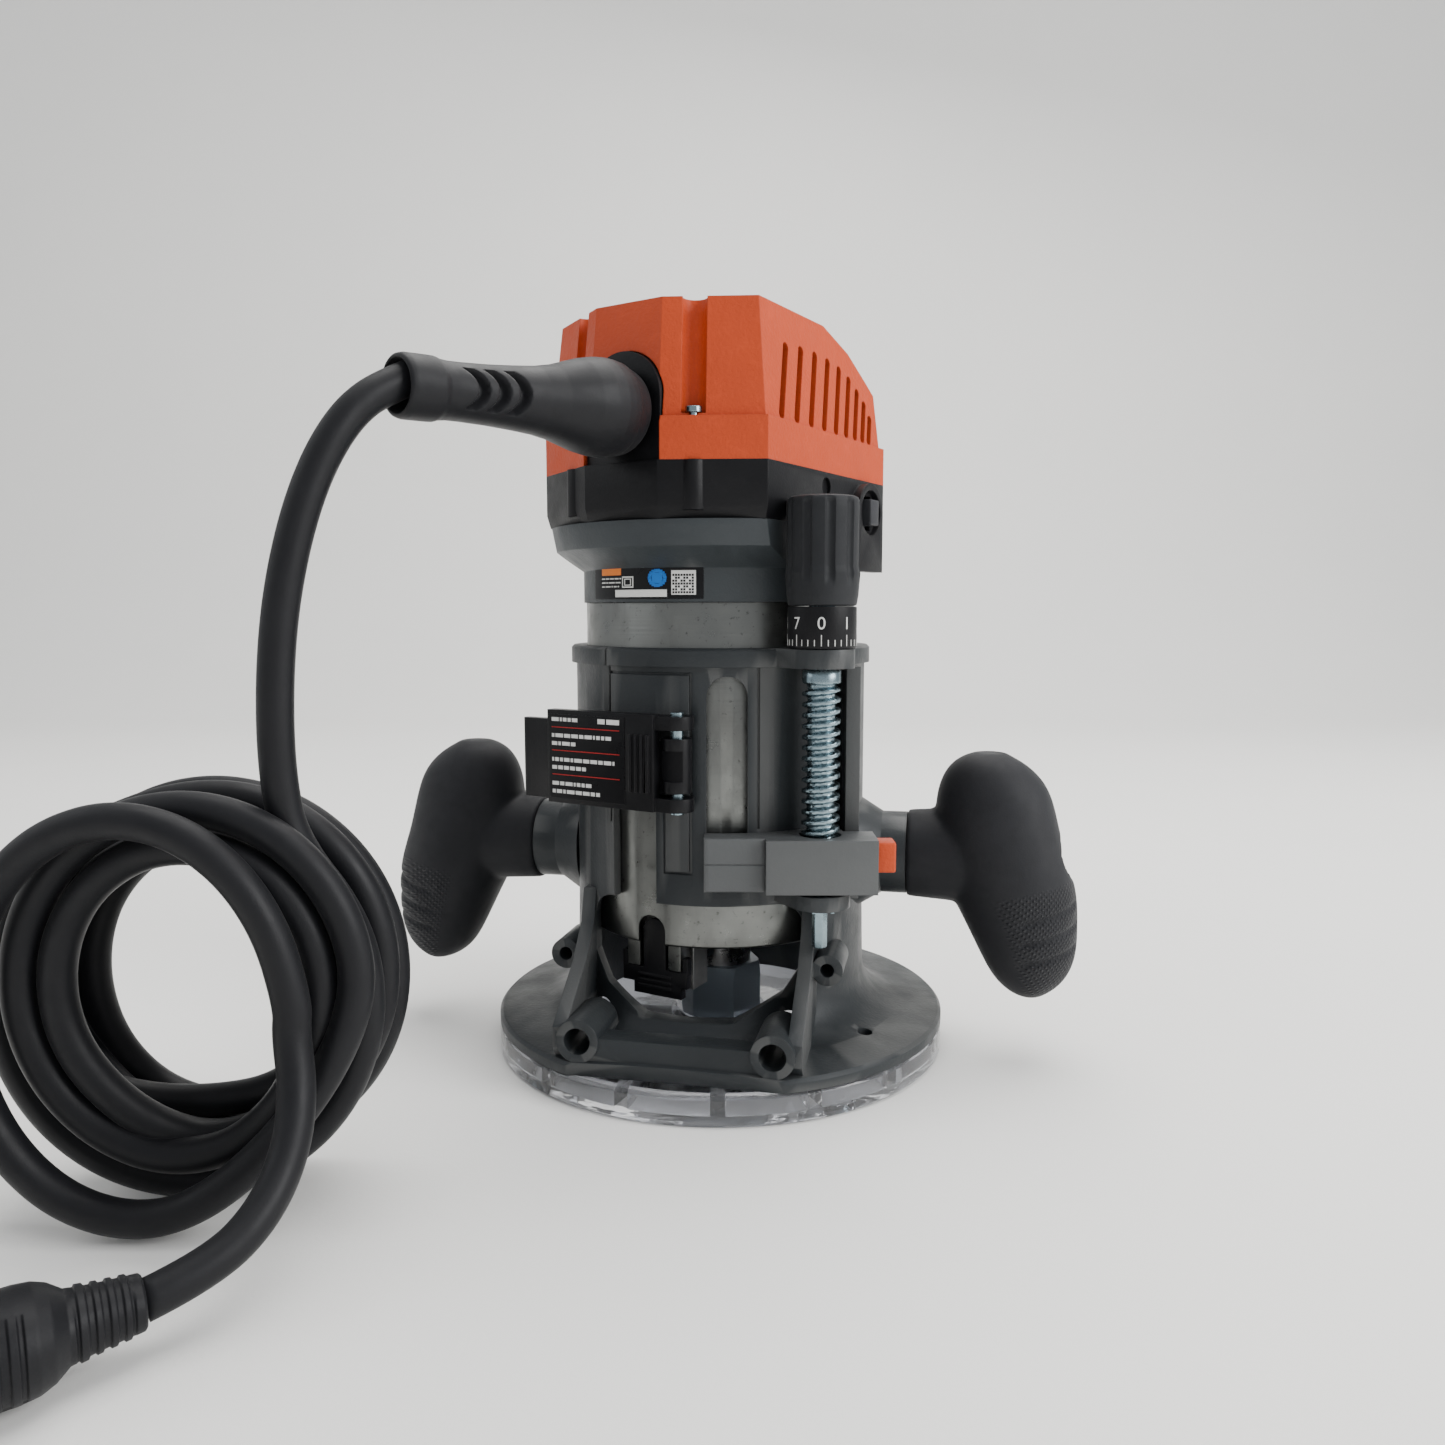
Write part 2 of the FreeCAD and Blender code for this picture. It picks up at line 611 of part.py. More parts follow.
def make_bracket():
    """Block on the motor that reaches out through the slot and carries the half nut."""
    turn, front, right = size("bracket_turn"), size("bracket_front"), size("bracket_right")
    low, high = size("bracket_bottom"), size("bracket_top")
    offset = size("screw_turn") - turn
    sx, sy = size("screw_distance") * sin(radians(offset)), size("screw_distance") * cos(radians(offset))
    block = fuse("bracket_blocks",
                 slab("bracket_left", turn, -5, 14, 40, 56, low, high),
                 slab("bracket_mid", turn, 13, 36.6, 36, front, low, high),
                 slab("bracket_end", turn, 36, right, 45.2, front, low, high))
    trimmed = cut("bracket_trimmed", block, cylinder("bracket_clear", "barrel_radius + gap", 40, z=50))
    neck = cut("bracket_neck", slab("neck_block", turn, -3.4, 7.0, 43, 50, low + 1.5, high - 3),
               cylinder("neck_clear", "motor_radius", 40, z=50))
    screw_rooms = []
    for i, height in enumerate((67.5, 75.0)):
        screw_rooms.append(rod(f"screw_room_{i}", turn, (1.8, 38.5, height), (1.8, 60, height), 1.6))
        screw_rooms.append(rod(f"head_room_{i}", turn, (1.8, 54.3, height), (1.8, 60, height), 3.0))
    body = cut("MotorBracket", fuse("bracket_solid", trimmed, neck), *screw_rooms,
               post("bracket_screw_hole", turn, sx, sy, size("thread_radius") + 0.5, 60, 85),
               slab("latch_pocket", turn, 15.5, 37.2, 41.6, 58.0, 69.2, 76.8),
               slab("button_pocket", turn, 36, 47, 47.2, 55.8, 68.2, 78.0))
    node("motor_bracket", body)
    eye = slab("latch_eye", turn, 20.5, 38.6, 42.0, 57.6, 69.5, 76.5)
    shank = slab("latch_shank", turn, 36, 42.5, 47.6, 55.4, 69.5, 76.5)
    eye_end = slab("latch_trim", turn, 36.9, 50, 40, 47.6, 69, 77)
    eye_end_front = slab("latch_trim_front", turn, 36.9, 50, 55.4, 60, 69, 77)
    room = [post(f"latch_room_{i}", turn, sx + shift, sy, size("thread_radius") + 0.25, 60, 85)
            for i, shift in enumerate((0, 1.6, 3.2))]
    barrel_room = post("latch_barrel_room", turn, 3.2, 0, size("barrel_radius") + 0.5, 60, 85)
    latch = cut("HalfNut", fuse("latch_solid", eye, shank), eye_end, eye_end_front, barrel_room, *room)
    node("half_nut", latch)
    cap = slab("button_cap", turn, 42.55, 51.2, 47.6, 55.4, 68.6, 77.6)
    node("release_button", cap)
    spring_z = 73.0
    outer = rod("spring_outer", turn, (15.6, 50, spring_z), (20.4, 50, spring_z), 2.4)
    inner = rod("spring_inner", turn, (15.6, 50, spring_z), (20.4, 50, spring_z), 1.7)
    node("release_spring", cut("ReleaseSpring", outer, inner))
    screws = []
    for i, height in enumerate((67.5, 75.0)):
        shank = rod(f"bracket_screw_shank_{i}", turn, (1.8, 38.5, height), (1.8, 54.4, height), 1.5)
        head = rod(f"bracket_screw_head_{i}", turn, (1.8, 54.4, height), (1.8, 56.4, height), 2.8)
        screws.append(fuse(f"bracket_screw_{i}", shank, head))
    node("bracket_screws", collect("BracketScrews", *screws))


# -------------------------------------------------------------------- motor


def make_motor_barrel():
    """Turned aluminium barrel with an arch and two posts for the spindle lock."""
    radius, wall = size("motor_radius"), size("motor_wall")
    low, top = size("skirt_bottom"), size("barrel_end")
    shell = revolved("barrel_shell", [
        (radius - wall, low), (radius - 0.6, low), (radius, low + 0.6), (radius, top),
        (radius - wall, top)])
    turn, post_low = size("lock_turn"), size("lock_height") + 3.2
    posts = [slab("lock_post_left", turn, -9.6, -5.2, 37.5, 42.9, post_low, low + 3),
             slab("lock_post_right", turn, 5.2, 9.6, 37.5, 42.9, post_low, low + 3)]
    arch = [slab("arch_cut", turn, -4.9, 4.9, 34, 48, low - 12, 46.5),
            rod("arch_round", turn, (0, 34, 46.5), (0, 48, 46.5), 4.9)]
    holes = [rod(f"bracket_thread_{i}", size("bracket_turn"), (1.8, 36, z), (1.8, 48, z), 1.55)
             for i, z in enumerate((67.5, 75.0))]
    solid = fuse("barrel_solid", shell, *posts)
    node("motor_barrel", cut("MotorBarrel", solid, *arch, *holes))


def head_plan(inset=0.0):
    """Plan of the motor's head in its own frame: two flats and faceted ends."""
    flat = size("head_flat") - inset
    corner, end, half_end = 40.0 - inset * 0.7, 55.0 - inset, 13.0 - inset * 0.25
    front = [(-flat, -corner), (-half_end, -end), (half_end, -end), (flat, -corner)]
    return front + [(flat, corner), (half_end, end), (-half_end, end), (-flat, corner)]


def make_head_casting():
    """Painted aluminium collar that flares out to carry the plastic head."""
    inner, collar = size("motor_radius") - size("motor_wall"), size("collar_radius")
    low, top = size("barrel_end"), size("head_bottom")
    cone_shape = revolved("head_cone", [
        (inner, low), (collar, low), (collar, 157.5), (54.0, 163.5), (55.6, top), (inner, top)])
    flat = size("head_flat") - 1.0
    flats = slab("head_flats", 0, -flat, flat, -70, 70, 157, 180)
    below = cylinder("collar_keep", 60, 10.1, z=low - 0.05)
    keep = common("head_shaved", cone_shape, fuse("head_keep", flats, below))
    sides = [slab(f"head_side_{i}", 0, start, start + 1.8, -18, 18, 157, top)
             for i, start in enumerate((-flat, flat - 1.8))]
    shape = fuse("HeadCasting", keep, *sides)
    node("head_casting", turned(shape, "head_turn"))


CHANNELS = [(sx * 20.9, sy * 48.0) for sx in (-1, 1) for sy in (-1, 1)]


def make_head_housing():
    """Black moulding between the casting and the cap, with the switch recess."""
    body = new_body("housing_outer")
    lower = outline(body, "XY_Plane", "housing_low", head_plan(), 175.0)
    pad(body, lower, "housing_walls", "band_bottom - 175")
    bevel = outline(body, "XY_Plane", "housing_bevel", head_plan(), 175.0)
    pad(body, bevel, "housing_skirt", 4.0, backwards=True, taper=-14)
    inner = new_body("housing_inner")
    hollow = outline(inner, "XY_Plane", "housing_hollow", head_plan(3.0), 173.5)
    pad(inner, hollow, "housing_cavity", 20)
    shell = cut("housing_shell", body, inner, cylinder("housing_hole", 36, 10, z=168))
    panel = slab("cord_panel", 0, -13.2, 13.2, 49.5, 53.5, 180, 205.8)
    arch = rod("cord_arch", 0, (0, 49.5, 205.8), (0, 53.5, 205.8), 13.2)
    hole = rod("cord_hole", 0, (0, 45, size("cord_height")), (0, 60, size("cord_height")), 9.05)
    tab = slab("switch_tab", 90, 14.5, 33.5, 39.9, 43.6, 157.7, 177)
    tab_round = rod("switch_round", 90, (24, 39.9, 177), (24, 43.6, 177), 9.5)
    recess = rod("switch_recess", 90, (24, 41.4, 177), (24, 46, 177), 7.4)
    slot = slab("switch_slot", 90, 20.2, 27.8, 33, 45, 171.4, 182.6)
    screw_pit = rod("screw_pit", 90, (-3.3, 39.4, 183), (-3.3, 42, 183), 3.0)
    bulb_room = rod("cord_bulb_room", 0, (0, 53.9, size("cord_height")), (0, 60, size("cord_height")), 14.0)
    bosses = [cylinder(f"cap_boss_{i}", 3.6, 14, x, y, 173.4) for i, (x, y) in enumerate(CHANNELS)]
    threads = [cylinder(f"cap_thread_{i}", 1.35, 8.5, x, y, 179.5) for i, (x, y) in enumerate(CHANNELS)]
    solid = fuse("housing_solid", shell, panel, arch, tab, tab_round, *bosses)
    shape = cut("HeadHousing", solid, hole, recess, slot, screw_pit, bulb_room, *threads)
    node("head_housing", turned(shape, "head_turn"))


# Where each cap vent starts at its foot, front to rear, and how high it goes.
CAP_VENTS = [(-31.0, 221.4), (-21.6, 222.2), (-12.4, 222.4), (-3.6, 222.0), (4.6, 221.0),
             (12.0, 219.0), (18.6, 216.0), (24.4, 212.8), (29.4, 208.5)]
VENT_FOOT, VENT_WIDTH, VENT_LEAN = 201.6, 3.2, 0.3


def vent_slot(name, y, top):
    """Round-ended slot through both side walls that leans to the rear."""
    shift, half = (top - VENT_FOOT) * VENT_LEAN, VENT_WIDTH / 2
    slot = new_body(name)
    edges = [(y + VENT_WIDTH, VENT_FOOT, y + half, VENT_FOOT - half), (y + VENT_WIDTH + shift, top),
             (y + shift, top, y + half + shift, top + half), (y, VENT_FOOT)]
    pad(slot, outline(slot, "YZ_Plane", f"{name}_edge", edges), f"{name}_through", 120, True)
    return slot


def make_top_cap():
    """Vented cap: plain band below, tapered walls above, sloping down at the rear."""
    band = new_body("cap_band")
    plan = outline(band, "XY_Plane", "band_plan", head_plan(), "band_bottom")
    pad(band, plan, "band_height", "band_top - band_bottom")
    walls = outline(band, "XY_Plane", "wall_plan", head_plan(1.4), "band_top")
    pad(band, walls, "wall_height", "cap_top - band_top", taper=-6)
    hollow = new_body("cap_hollow")
    low = outline(hollow, "XY_Plane", "hollow_plan", head_plan(2.8), 187.0)
    pad(hollow, low, "hollow_low", "band_top - 187")
    high = outline(hollow, "XY_Plane", "hollow_wall_plan", head_plan(4.2), "band_top")
    pad(hollow, high, "hollow_high", "cap_top - band_top - 2.8", taper=-6)
    slope_out, slope_in = new_body("slope_out"), new_body("slope_in")
    rear = [(2, 240), (2, 233.8), (20, 228), (32, 221), (44, 213.5), (56, 202), (70, 240)]
    inside = [(2, 240), (2, 230.6), (19, 224.8), (31, 217.8), (43, 210.2), (54, 199), (70, 240)]
    pad(slope_out, outline(slope_out, "YZ_Plane", "rear_slope", rear), "slope_width", 120, True)
    pad(slope_in, outline(slope_in, "YZ_Plane", "rear_slope_in", inside), "slope_in_width", 120, True)
    lean = 0.92
    backs = [rod(f"channel_back_{i}", 0, (x, -y, 187), (x * lean, -y * lean, 238), 6.0)
             for i, (x, y) in enumerate(CHANNELS)]
    room = cut("cap_room", hollow, slope_in, *backs)
    tools = [room, slope_out]
    tools += [rod(f"channel_{i}", 0, (x, -y, 200.4), (x * lean, -y * lean, 240), 3.6)
              for i, (x, y) in enumerate(CHANNELS)]
    tools += [cylinder(f"cap_screw_hole_{i}", 1.45, 20, x, y, 187) for i, (x, y) in enumerate(CHANNELS)]
    tools.append(slab("arch_gap", 0, -13.6, 13.6, 44, 60, 185, 205.8))
    tools.append(rod("arch_gap_round", 0, (0, 44, 205.8), (0, 60, 205.8), 13.6))
    tools.append(rod("bulb_gap", 0, (0, 53.9, size("cord_height")), (0, 60, size("cord_height")), 14.0))
    tools += [vent_slot(f"vent_{i}", y, top) for i, (y, top) in enumerate(CAP_VENTS)]
    shape = cut("TopCap", band, *tools)
    node("top_cap", turned(shape, "head_turn"))
    screws = []
    for i, (x, y) in enumerate(CHANNELS):
        head = cylinder(f"cap_screw_head_{i}", 2.4, 1.6, x, y, 200.7)
        shank = cylinder(f"cap_screw_shank_{i}", 1.3, 20.4, x, y, 180.4)
        cross = box(f"cap_screw_slot_{i}", 3.4, 0.7, 0.9, x - 1.7, y - 0.35, 201.5)
        screws.append(cut(f"cap_screw_{i}", fuse(f"cap_screw_solid_{i}", head, shank), cross))
    node("cap_screws", turned(collect("CapScrews", *screws), "head_turn"))


def make_switch():
    toggle = slab("switch_toggle", 90, 20.8, 27.2, 39.6, 45.0, 172.8, 181.2)
    hub = rod("switch_hub", 90, (20.8, 39.6, 177), (27.2, 39.6, 177), 4.4)
    node("switch_rocker", turned(fuse("SwitchRocker", toggle, hub), "head_turn"))


def make_strain_relief():
    """Rubber boot: a neck through the cord panel, a ball, and a tapered tail that hangs aside."""
    height, distance, turn = size("cord_height"), size("relief_distance"), size("head_turn")
    neck = rod("relief_neck", turn, (0, 48.5, height), (0, distance, height), 8.9)
    flare = rod("relief_flare", turn, (0, 55.5, height), (0, distance, height), 12.2)
    tail = revolved("relief_tail", [
        (0, 0), (13.6, 0), (13.3, 4.5), (10.4, 16, 12.3, 10), (8.0, 32, 8.8, 24), (7.2, 46),
        (7.4, 53), (7.9, 55), (7.9, 62), (7.4, 63.5), (6.7, 63.5), (4.7, 54), (0, 54)])
    ball = doc.addObject("Part::Sphere", "relief_ball")
    ball.Radius = 13.6
    x, y = front_place(distance, turn)
    lean = Rotation(Vector(0, 0, 1), size("relief_turn")).multiply(
        Rotation(Vector(1, 0, 0), 90 + size("relief_droop")))
    tail.Placement = Placement(Vector(x, y, height), lean)
    ball.Placement = Placement(Vector(x, y, height), lean)
    trim = slab("relief_trim", turn, -20, 20, 40, 55.4, height - 20, height + 20)
    bulb = cut("relief_bulb", fuse("relief_outer", flare, tail, ball), trim)
    node("strain_relief", fuse("StrainRelief", neck, bulb))


def make_internals():
    """Stator, brushes, bearings and boards that sit inside the motor."""
    wall = size("motor_radius") - size("motor_wall")
    bridge = cut("BearingBridge",
                 fuse("bridge_solid", ring("bridge_rim", wall - 0.05, 20.6, 5, z=52),
                      ring("bridge_boss", 21.0, 17.55, 13.0, z=50),
                      ring("bridge_nose", 21.0, 11.4, 4.0, z=46)),
                 *[cylinder(f"bridge_vent_{i}", 6.2, 20, x, y, 45)
                   for i, (x, y) in enumerate(round_places(30.8, 10, 9))])
    node("bearing_bridge", bridge)
    node("lower_bearing", ring("LowerBearing", 17.5, "lower_journal_radius + 0.05", 11, z=51))
    node("upper_bearing", ring("UpperBearing", 13.0, "upper_journal_radius + 0.05", 8, z=174.5))
    node("baffle", ring("Baffle", wall - 0.1, 30, 1.6, z=78.5))
    poles = cut("stator_slots", ring("stator_ring", wall - 0.1, "stator_bore_radius", 40, z=84),
                slab("stator_gap_a", 45, -10, 10, 22, 35, 80, 130),
                slab("stator_gap_b", 135, -10, 10, 22, 35, 80, 130),
                slab("stator_gap_c", 225, -10, 10, 22, 35, 80, 130),
                slab("stator_gap_d", 315, -10, 10, 22, 35, 80, 130))
    node("stator_core", poles)
    coils = [slab(f"coil_{i}", 45 + 90 * i, -9.4, 9.4, 23.2, 34.2, 81.2, 127.4) for i in range(4)]
    node("field_windings", collect("FieldWindings", *coils))
    plate = ring("holder_plate", 40.5, 27.5, 3.0, z=136.6)
    node("brush_plate", plate)
    for side, name in ((1, "right"), (-1, "left")):
        turn = 90 * side
        holder = cut(f"BrushHolder_{name}",
                     slab(f"holder_block_{name}", turn, -5.6, 5.6, 16.5, 39.6, 139.7, 152.3),
                     slab(f"holder_bore_{name}", turn, -3.6, 3.6, 10, 45, 141.4, 150.6))
        node("brush_holder_" + name, holder)
        brush = slab(f"Brush_{name}", turn, -3.5, 3.5, 14.45, 28, 141.6, 150.4)
        node("carbon_brush_" + name, brush)
        outer = rod(f"brush_spring_outer_{name}", turn, (0, 28.1, 146), (0, 39.4, 146), 3.0)
        inner = rod(f"brush_spring_inner_{name}", turn, (0, 28.1, 146), (0, 39.4, 146), 2.4)
        node("brush_spring_" + name, cut(f"BrushSpring_{name}", outer, inner))
    bridge_top = fuse("top_bridge_solid", ring("top_boss", 16.5, 13.05, 10, z=174.2),
                      ring("top_web", 37.0, 16.0, 2.4, z=174.2))
    node("top_bridge", bridge_top)
    node("speed_board", slab("SpeedBoard", size("head_turn"), -26, 26, -34, 34, 208, 209.8))
    node("switch_body", slab("SwitchBody", size("head_turn") + 90, 17, 31, 22, 32.6, 177, 190))


def make_spindle_lock():
    """Push button under the skirt: its nose enters a cross hole of the spindle."""
    turn, height = size("lock_turn"), size("lock_height")
    low, top = height - 2.7, height + 2.8
    back, front = 39.8, 42.6
    face = slab("lock_face", turn, -11.6, 11.6, back, front, 29.0, top)
    chin = slab("lock_chin", turn, -7.6, 9.6, back, front, 25.4, 29.1)
    horns = [slab(f"lock_horn_{i}", turn, side * 10.9 - 0.9, side * 10.9 + 0.9, back, 42.4, top - 1, 38.5)
             for i, side in enumerate((-1, 1))]
    shelf = slab("lock_shelf", turn, -4.7, 4.7, 24.0, 40.6, low, top)
    tongue = slab("lock_tongue", turn, -4.0, 4.0, 40.0, front, top - 1, 45.8)
    tongue_top = rod("lock_tongue_top", turn, (0, 40.0, 45.8), (0, front, 45.8), 4.0)
    nose = rod("lock_nose", turn, (0, 13.0, height), (0, 25.0, height), 2.4)
    grips = [slab(f"lock_grip_{i}", turn, -6, 6, 42.4, 43.1, 27.6 + 1.8 * i, 28.5 + 1.8 * i)
             for i in range(3)]
    node("spindle_lock", fuse("SpindleLock", face, chin, shelf, tongue, tongue_top, nose, *horns, *grips))
    guide = cut("LockGuide", slab("guide_block", turn, -9.5, 9.5, 26, 34.8, 26.4, 51.9),
                slab("guide_room", turn, -5.0, 5.0, 20, 50, low - 0.3, top + 0.3))
    node("lock_guide", guide)
    spring = ((7.4, 34.9, 29.6), (7.4, 39.7, 29.6))
    outer = rod("lock_spring_outer", turn, *spring, 1.6)
    inner = rod("lock_spring_inner", turn, *spring, 1.1)
    node("lock_spring", cut("LockSpring", outer, inner))


# -------------------------------------------------------------------- rotor


def make_rotor():
    low_r, up_r, shaft = size("lower_journal_radius"), size("upper_journal_radius"), size("shaft_radius")
    end_r, collet_r = size("spindle_end_radius"), size("collet_radius")
    spindle = revolved("spindle_solid", [
        (collet_r + 0.05, 10), (end_r, 10), (end_r, 46.5), (low_r, 46.5), (low_r, 63), (shaft, 63),
        (shaft, 172), (up_r, 172), (up_r, 184), (0, 184), (0, 37), (collet_r + 0.05, 37)])
    height = size("lock_height")
    holes = [rod(f"lock_hole_{i}", size("lock_turn") + 90 * i, (0, 0, height), (0, 20, height), 2.75)
             for i in range(4)]
    node("spindle", cut("Spindle", spindle, *holes))
    nut_corner = size("nut_across_flats") / sqrt(3)
    nut = prism("nut_hex", 6, nut_corner, "nut_top - nut_bottom", z="nut_bottom")
    rounded = revolved("nut_round", [
        (0, 2.8), (11.6, 2.8), (13.2, 5.4), (13.9, 8.6), (13.9, 22), (13.2, 25.7), (0, 25.7)])
    bored = revolved("nut_bore", [
        (0, 1), (7.4, 1), (7.4, 5.0), (end_r + 0.05, 9.0), (end_r + 0.05, 27), (0, 27)])
    node("collet_nut", cut("ColletNut", common("nut_blank", nut, rounded), bored))
    sleeve = revolved("collet_sleeve", [
        (size("collet_bore_radius"), 5.4), (7.5, 5.4), (collet_r, 8.0), (collet_r, 35.5),
        (size("collet_bore_radius"), 35.5)])
    slits = [slab(f"collet_slit_{i}", 45 + 90 * i, -0.5, 0.5, 5, 12, 4, 29) for i in range(4)]
    node("collet", cut("Collet", sleeve, *slits))
    core = ring("core_stack", "armature_radius", shaft, 40, z=84)
    slots = [cylinder(f"core_slot_{i}", 1.6, 44, x, y, 82)
             for i, (x, y) in enumerate(round_places(20.6, 14, 0))]
    node("armature_core", cut("ArmatureCore", core, *slots))
    ends = fuse("armature_ends", ring("winding_low", 19.5, shaft, 5.8, z=78.2),
                ring("winding_high", 19.5, shaft, 8.0, z=124.0))
    node("armature_windings", ends)
    bars = [slab(f"bar_gap_{i}", 15 * i, -0.3, 0.3, 12.8, 16, 138, 156) for i in range(24)]
    node("commutator", cut("Commutator", ring("commutator_ring", 14.4, shaft, 17, z=138), *bars))
    blades = [slab(f"blade_{i}", 24 * i, -0.6, 0.6, 13, 37.5, 67.4, 76.5) for i in range(15)]
    fan = fuse("Fan", ring("fan_disc", 37.5, shaft, 1.8, z=66), ring("fan_hub", 14, shaft, 10.5, z=66),
               *blades)
    node("fan", fan)


# --------------------------------------------------------------------- cord

# The route, as (across, towards the front, height) in a frame turned about Z by CORD_TURN.
CORD_TURN = 11.8
LEAD = [(-78.6, 101.1, 198.6), (-84.6, 106.4, 193.4), (-89.8, 110.3, 185.1), (-94.4, 112.9, 174.3),
        (-98.3, 114.7, 161.0), (-101.6, 115.7, 144.4), (-103.4, 115.9, 125.5), (-103.8, 115.0, 106.5),
        (-102.0, 113.5, 90.6)]
TAIL = [(-97.0, 130.0, 50.0), (-94.5, 133.5, 38.0), (-93.5, 141.0, 27.5), (-95.5, 151.5, 19.0),
        (-102.0, 161.5, 13.4), (-112.0, 169.0, 11.2)]
PLUG_END = (-143.5, 192.6, 11.2)
HANK_CENTRE = (-130.0, 112.0, 52.0)


def in_frame(point):
    return Rotation(Vector(0, 0, 1), CORD_TURN).multVec(Vector(point[0], -point[1], point[2]))


def cord_tube(name, route):
    """Straight runs joined by tangent arcs, each as large as its two runs allow."""
    points = [in_frame(p) for p in route]
    edges, radii, start, length = [], [], points[0], 0.0
    for i in range(1, len(points) - 1):
        before, after = points[i] - points[i - 1], points[i + 1] - points[i]
        turn = before.getAngle(after)
        reach = 0.45 * min(before.Length, after.Length)
        radius = reach / tan(turn / 2)
        radii.append(round(radius, 1))
        a = points[i] - before.normalize() * reach
        b = points[i] + after.normalize() * reach
        chord = (a + b) * 0.5
        inward = (chord - points[i]).normalize()
        middle = points[i] + inward * (radius / cos(turn / 2) - radius)
        edges += [Part.LineSegment(start, a).toShape(), Part.Arc(a, middle, b).toShape()]
        start = b
    edges.append(Part.LineSegment(start, points[-1]).toShape())
    path = Part.Wire(edges)
    radius = size("cord_radius")
    section = Part.Wire(Part.makeCircle(radius, points[0], points[1] - points[0]))
    tube = path.makePipeShell([section], True, True)
    share = tube.Volume / (pi * radius ** 2 * path.Length)
    print(f"{name}: length {path.Length:.1f}, volume share {share:.4f}, bend radii {radii}")
    feature = doc.addObject("Part::Feature", name)
    feature.Shape = tube
    return node(name, feature)


def make_cord():
    cord_tube("cord_lead", LEAD)
    cord_tube("cord_tail", TAIL)
    centre = in_frame(HANK_CENTRE)
    spin = Rotation(Vector(0, 0, 1), CORD_TURN)
    oval = Part.Wire(Part.Ellipse(Vector(), size("hank_height") / 2, size("hank_width") / 2).toShape())
    slice_solid = Part.Face(oval).extrude(Vector(0, 0, size("hank_depth")))
    slice_solid.translate(Vector(0, 0, -size("hank_depth") / 2))
    slice_solid.Placement = Placement(centre, spin.multiply(Rotation(Vector(1, 0, 0), 90)).multiply(
        Rotation(Vector(0, 0, 1), 90))).multiply(slice_solid.Placement)
    hank = doc.addObject("Part::Feature", "cord_hank")
    hank.Shape = slice_solid
    node("cord_hank", hank)
    start, end = in_frame(TAIL[-1]), in_frame(PLUG_END)
    along = (end - start).normalize()
    sleeve = Part.makeCone(6.0, 7.5, 14, start, along)
    handle = Part.makeCylinder(10.9, 26, start + along * 14, along)
    plug = doc.addObject("Part::Feature", "plug")
    plug.Shape = sleeve.fuse(handle)
    node("plug", plug)
    side = Vector(-along.y, along.x, 0)
    blades = []
    for offset in (-6.35, 6.35):
        blade = Part.makeBox(1.5, 17, 6.4, Vector(-0.75, 0, -3.2))
        blade.Placement = Placement(start + along * 40 + side * offset,
                                    Rotation(Vector(0, 1, 0), along))
        blades.append(blade)
    prongs = doc.addObject("Part::Feature", "plug_blades")
    prongs.Shape = Part.makeCompound(blades)
    node("plug_blades", prongs)


make_sub_base()
make_sub_base_screws()
make_base_casting()
make_handle(1, "handle_right")
make_handle(-1, "handle_left")
make_handle_bolts()
make_handle_plugs()
make_clamp()
make_depth_adjuster()
make_bracket()
make_motor_barrel()
make_head_casting()
make_head_housing()
make_top_cap()
make_switch()
make_strain_relief()
make_internals()
make_spindle_lock()
make_rotor()
make_cord()

doc.recompute()
faults = [f"{item.Label}: {item.State}" for item in doc.Objects
          if "Invalid" in item.State or "Error" in item.State]
for name, thing in nodes.items():
    if thing.Shape.isNull() or not thing.Shape.isValid():
        faults.append(f"{name}: null or invalid shape")
if faults:
    raise RuntimeError("\n".join(faults))

os.makedirs("parts", exist_ok=True)
for name, thing in nodes.items():
    thing.Shape.exportStep(f"parts/{name}.step")
print(len(nodes), "nodes")
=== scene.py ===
"""Looks of the fixed-base router: finishes, soft parts, thread, labels, cord, light and camera."""
import json
from math import cos, pi, radians, sin

import bmesh
import bpy
import numpy as np
from mathutils import Matrix, Vector

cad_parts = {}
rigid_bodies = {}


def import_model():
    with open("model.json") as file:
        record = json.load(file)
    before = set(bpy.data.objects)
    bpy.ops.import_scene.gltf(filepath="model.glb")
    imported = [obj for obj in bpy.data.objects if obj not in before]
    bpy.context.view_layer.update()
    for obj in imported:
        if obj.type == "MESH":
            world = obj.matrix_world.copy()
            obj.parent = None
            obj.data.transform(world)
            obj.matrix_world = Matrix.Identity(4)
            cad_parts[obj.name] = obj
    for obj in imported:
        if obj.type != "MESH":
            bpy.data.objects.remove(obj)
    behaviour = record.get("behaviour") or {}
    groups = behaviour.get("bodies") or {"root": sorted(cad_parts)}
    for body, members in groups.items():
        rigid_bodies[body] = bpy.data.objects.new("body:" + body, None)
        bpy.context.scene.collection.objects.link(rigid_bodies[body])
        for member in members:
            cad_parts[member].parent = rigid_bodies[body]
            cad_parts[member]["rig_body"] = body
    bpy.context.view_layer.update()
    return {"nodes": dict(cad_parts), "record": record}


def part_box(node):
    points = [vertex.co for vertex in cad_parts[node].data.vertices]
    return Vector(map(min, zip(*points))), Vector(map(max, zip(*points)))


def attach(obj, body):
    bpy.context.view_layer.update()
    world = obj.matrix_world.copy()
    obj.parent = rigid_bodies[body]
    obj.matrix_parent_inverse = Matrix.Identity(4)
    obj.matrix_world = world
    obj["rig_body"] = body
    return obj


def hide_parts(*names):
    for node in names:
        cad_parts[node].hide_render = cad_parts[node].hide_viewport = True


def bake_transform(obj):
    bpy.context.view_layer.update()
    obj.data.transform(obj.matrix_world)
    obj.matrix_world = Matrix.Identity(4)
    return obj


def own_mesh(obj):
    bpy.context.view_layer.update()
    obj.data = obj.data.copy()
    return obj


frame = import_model()
NODES = frame["nodes"]
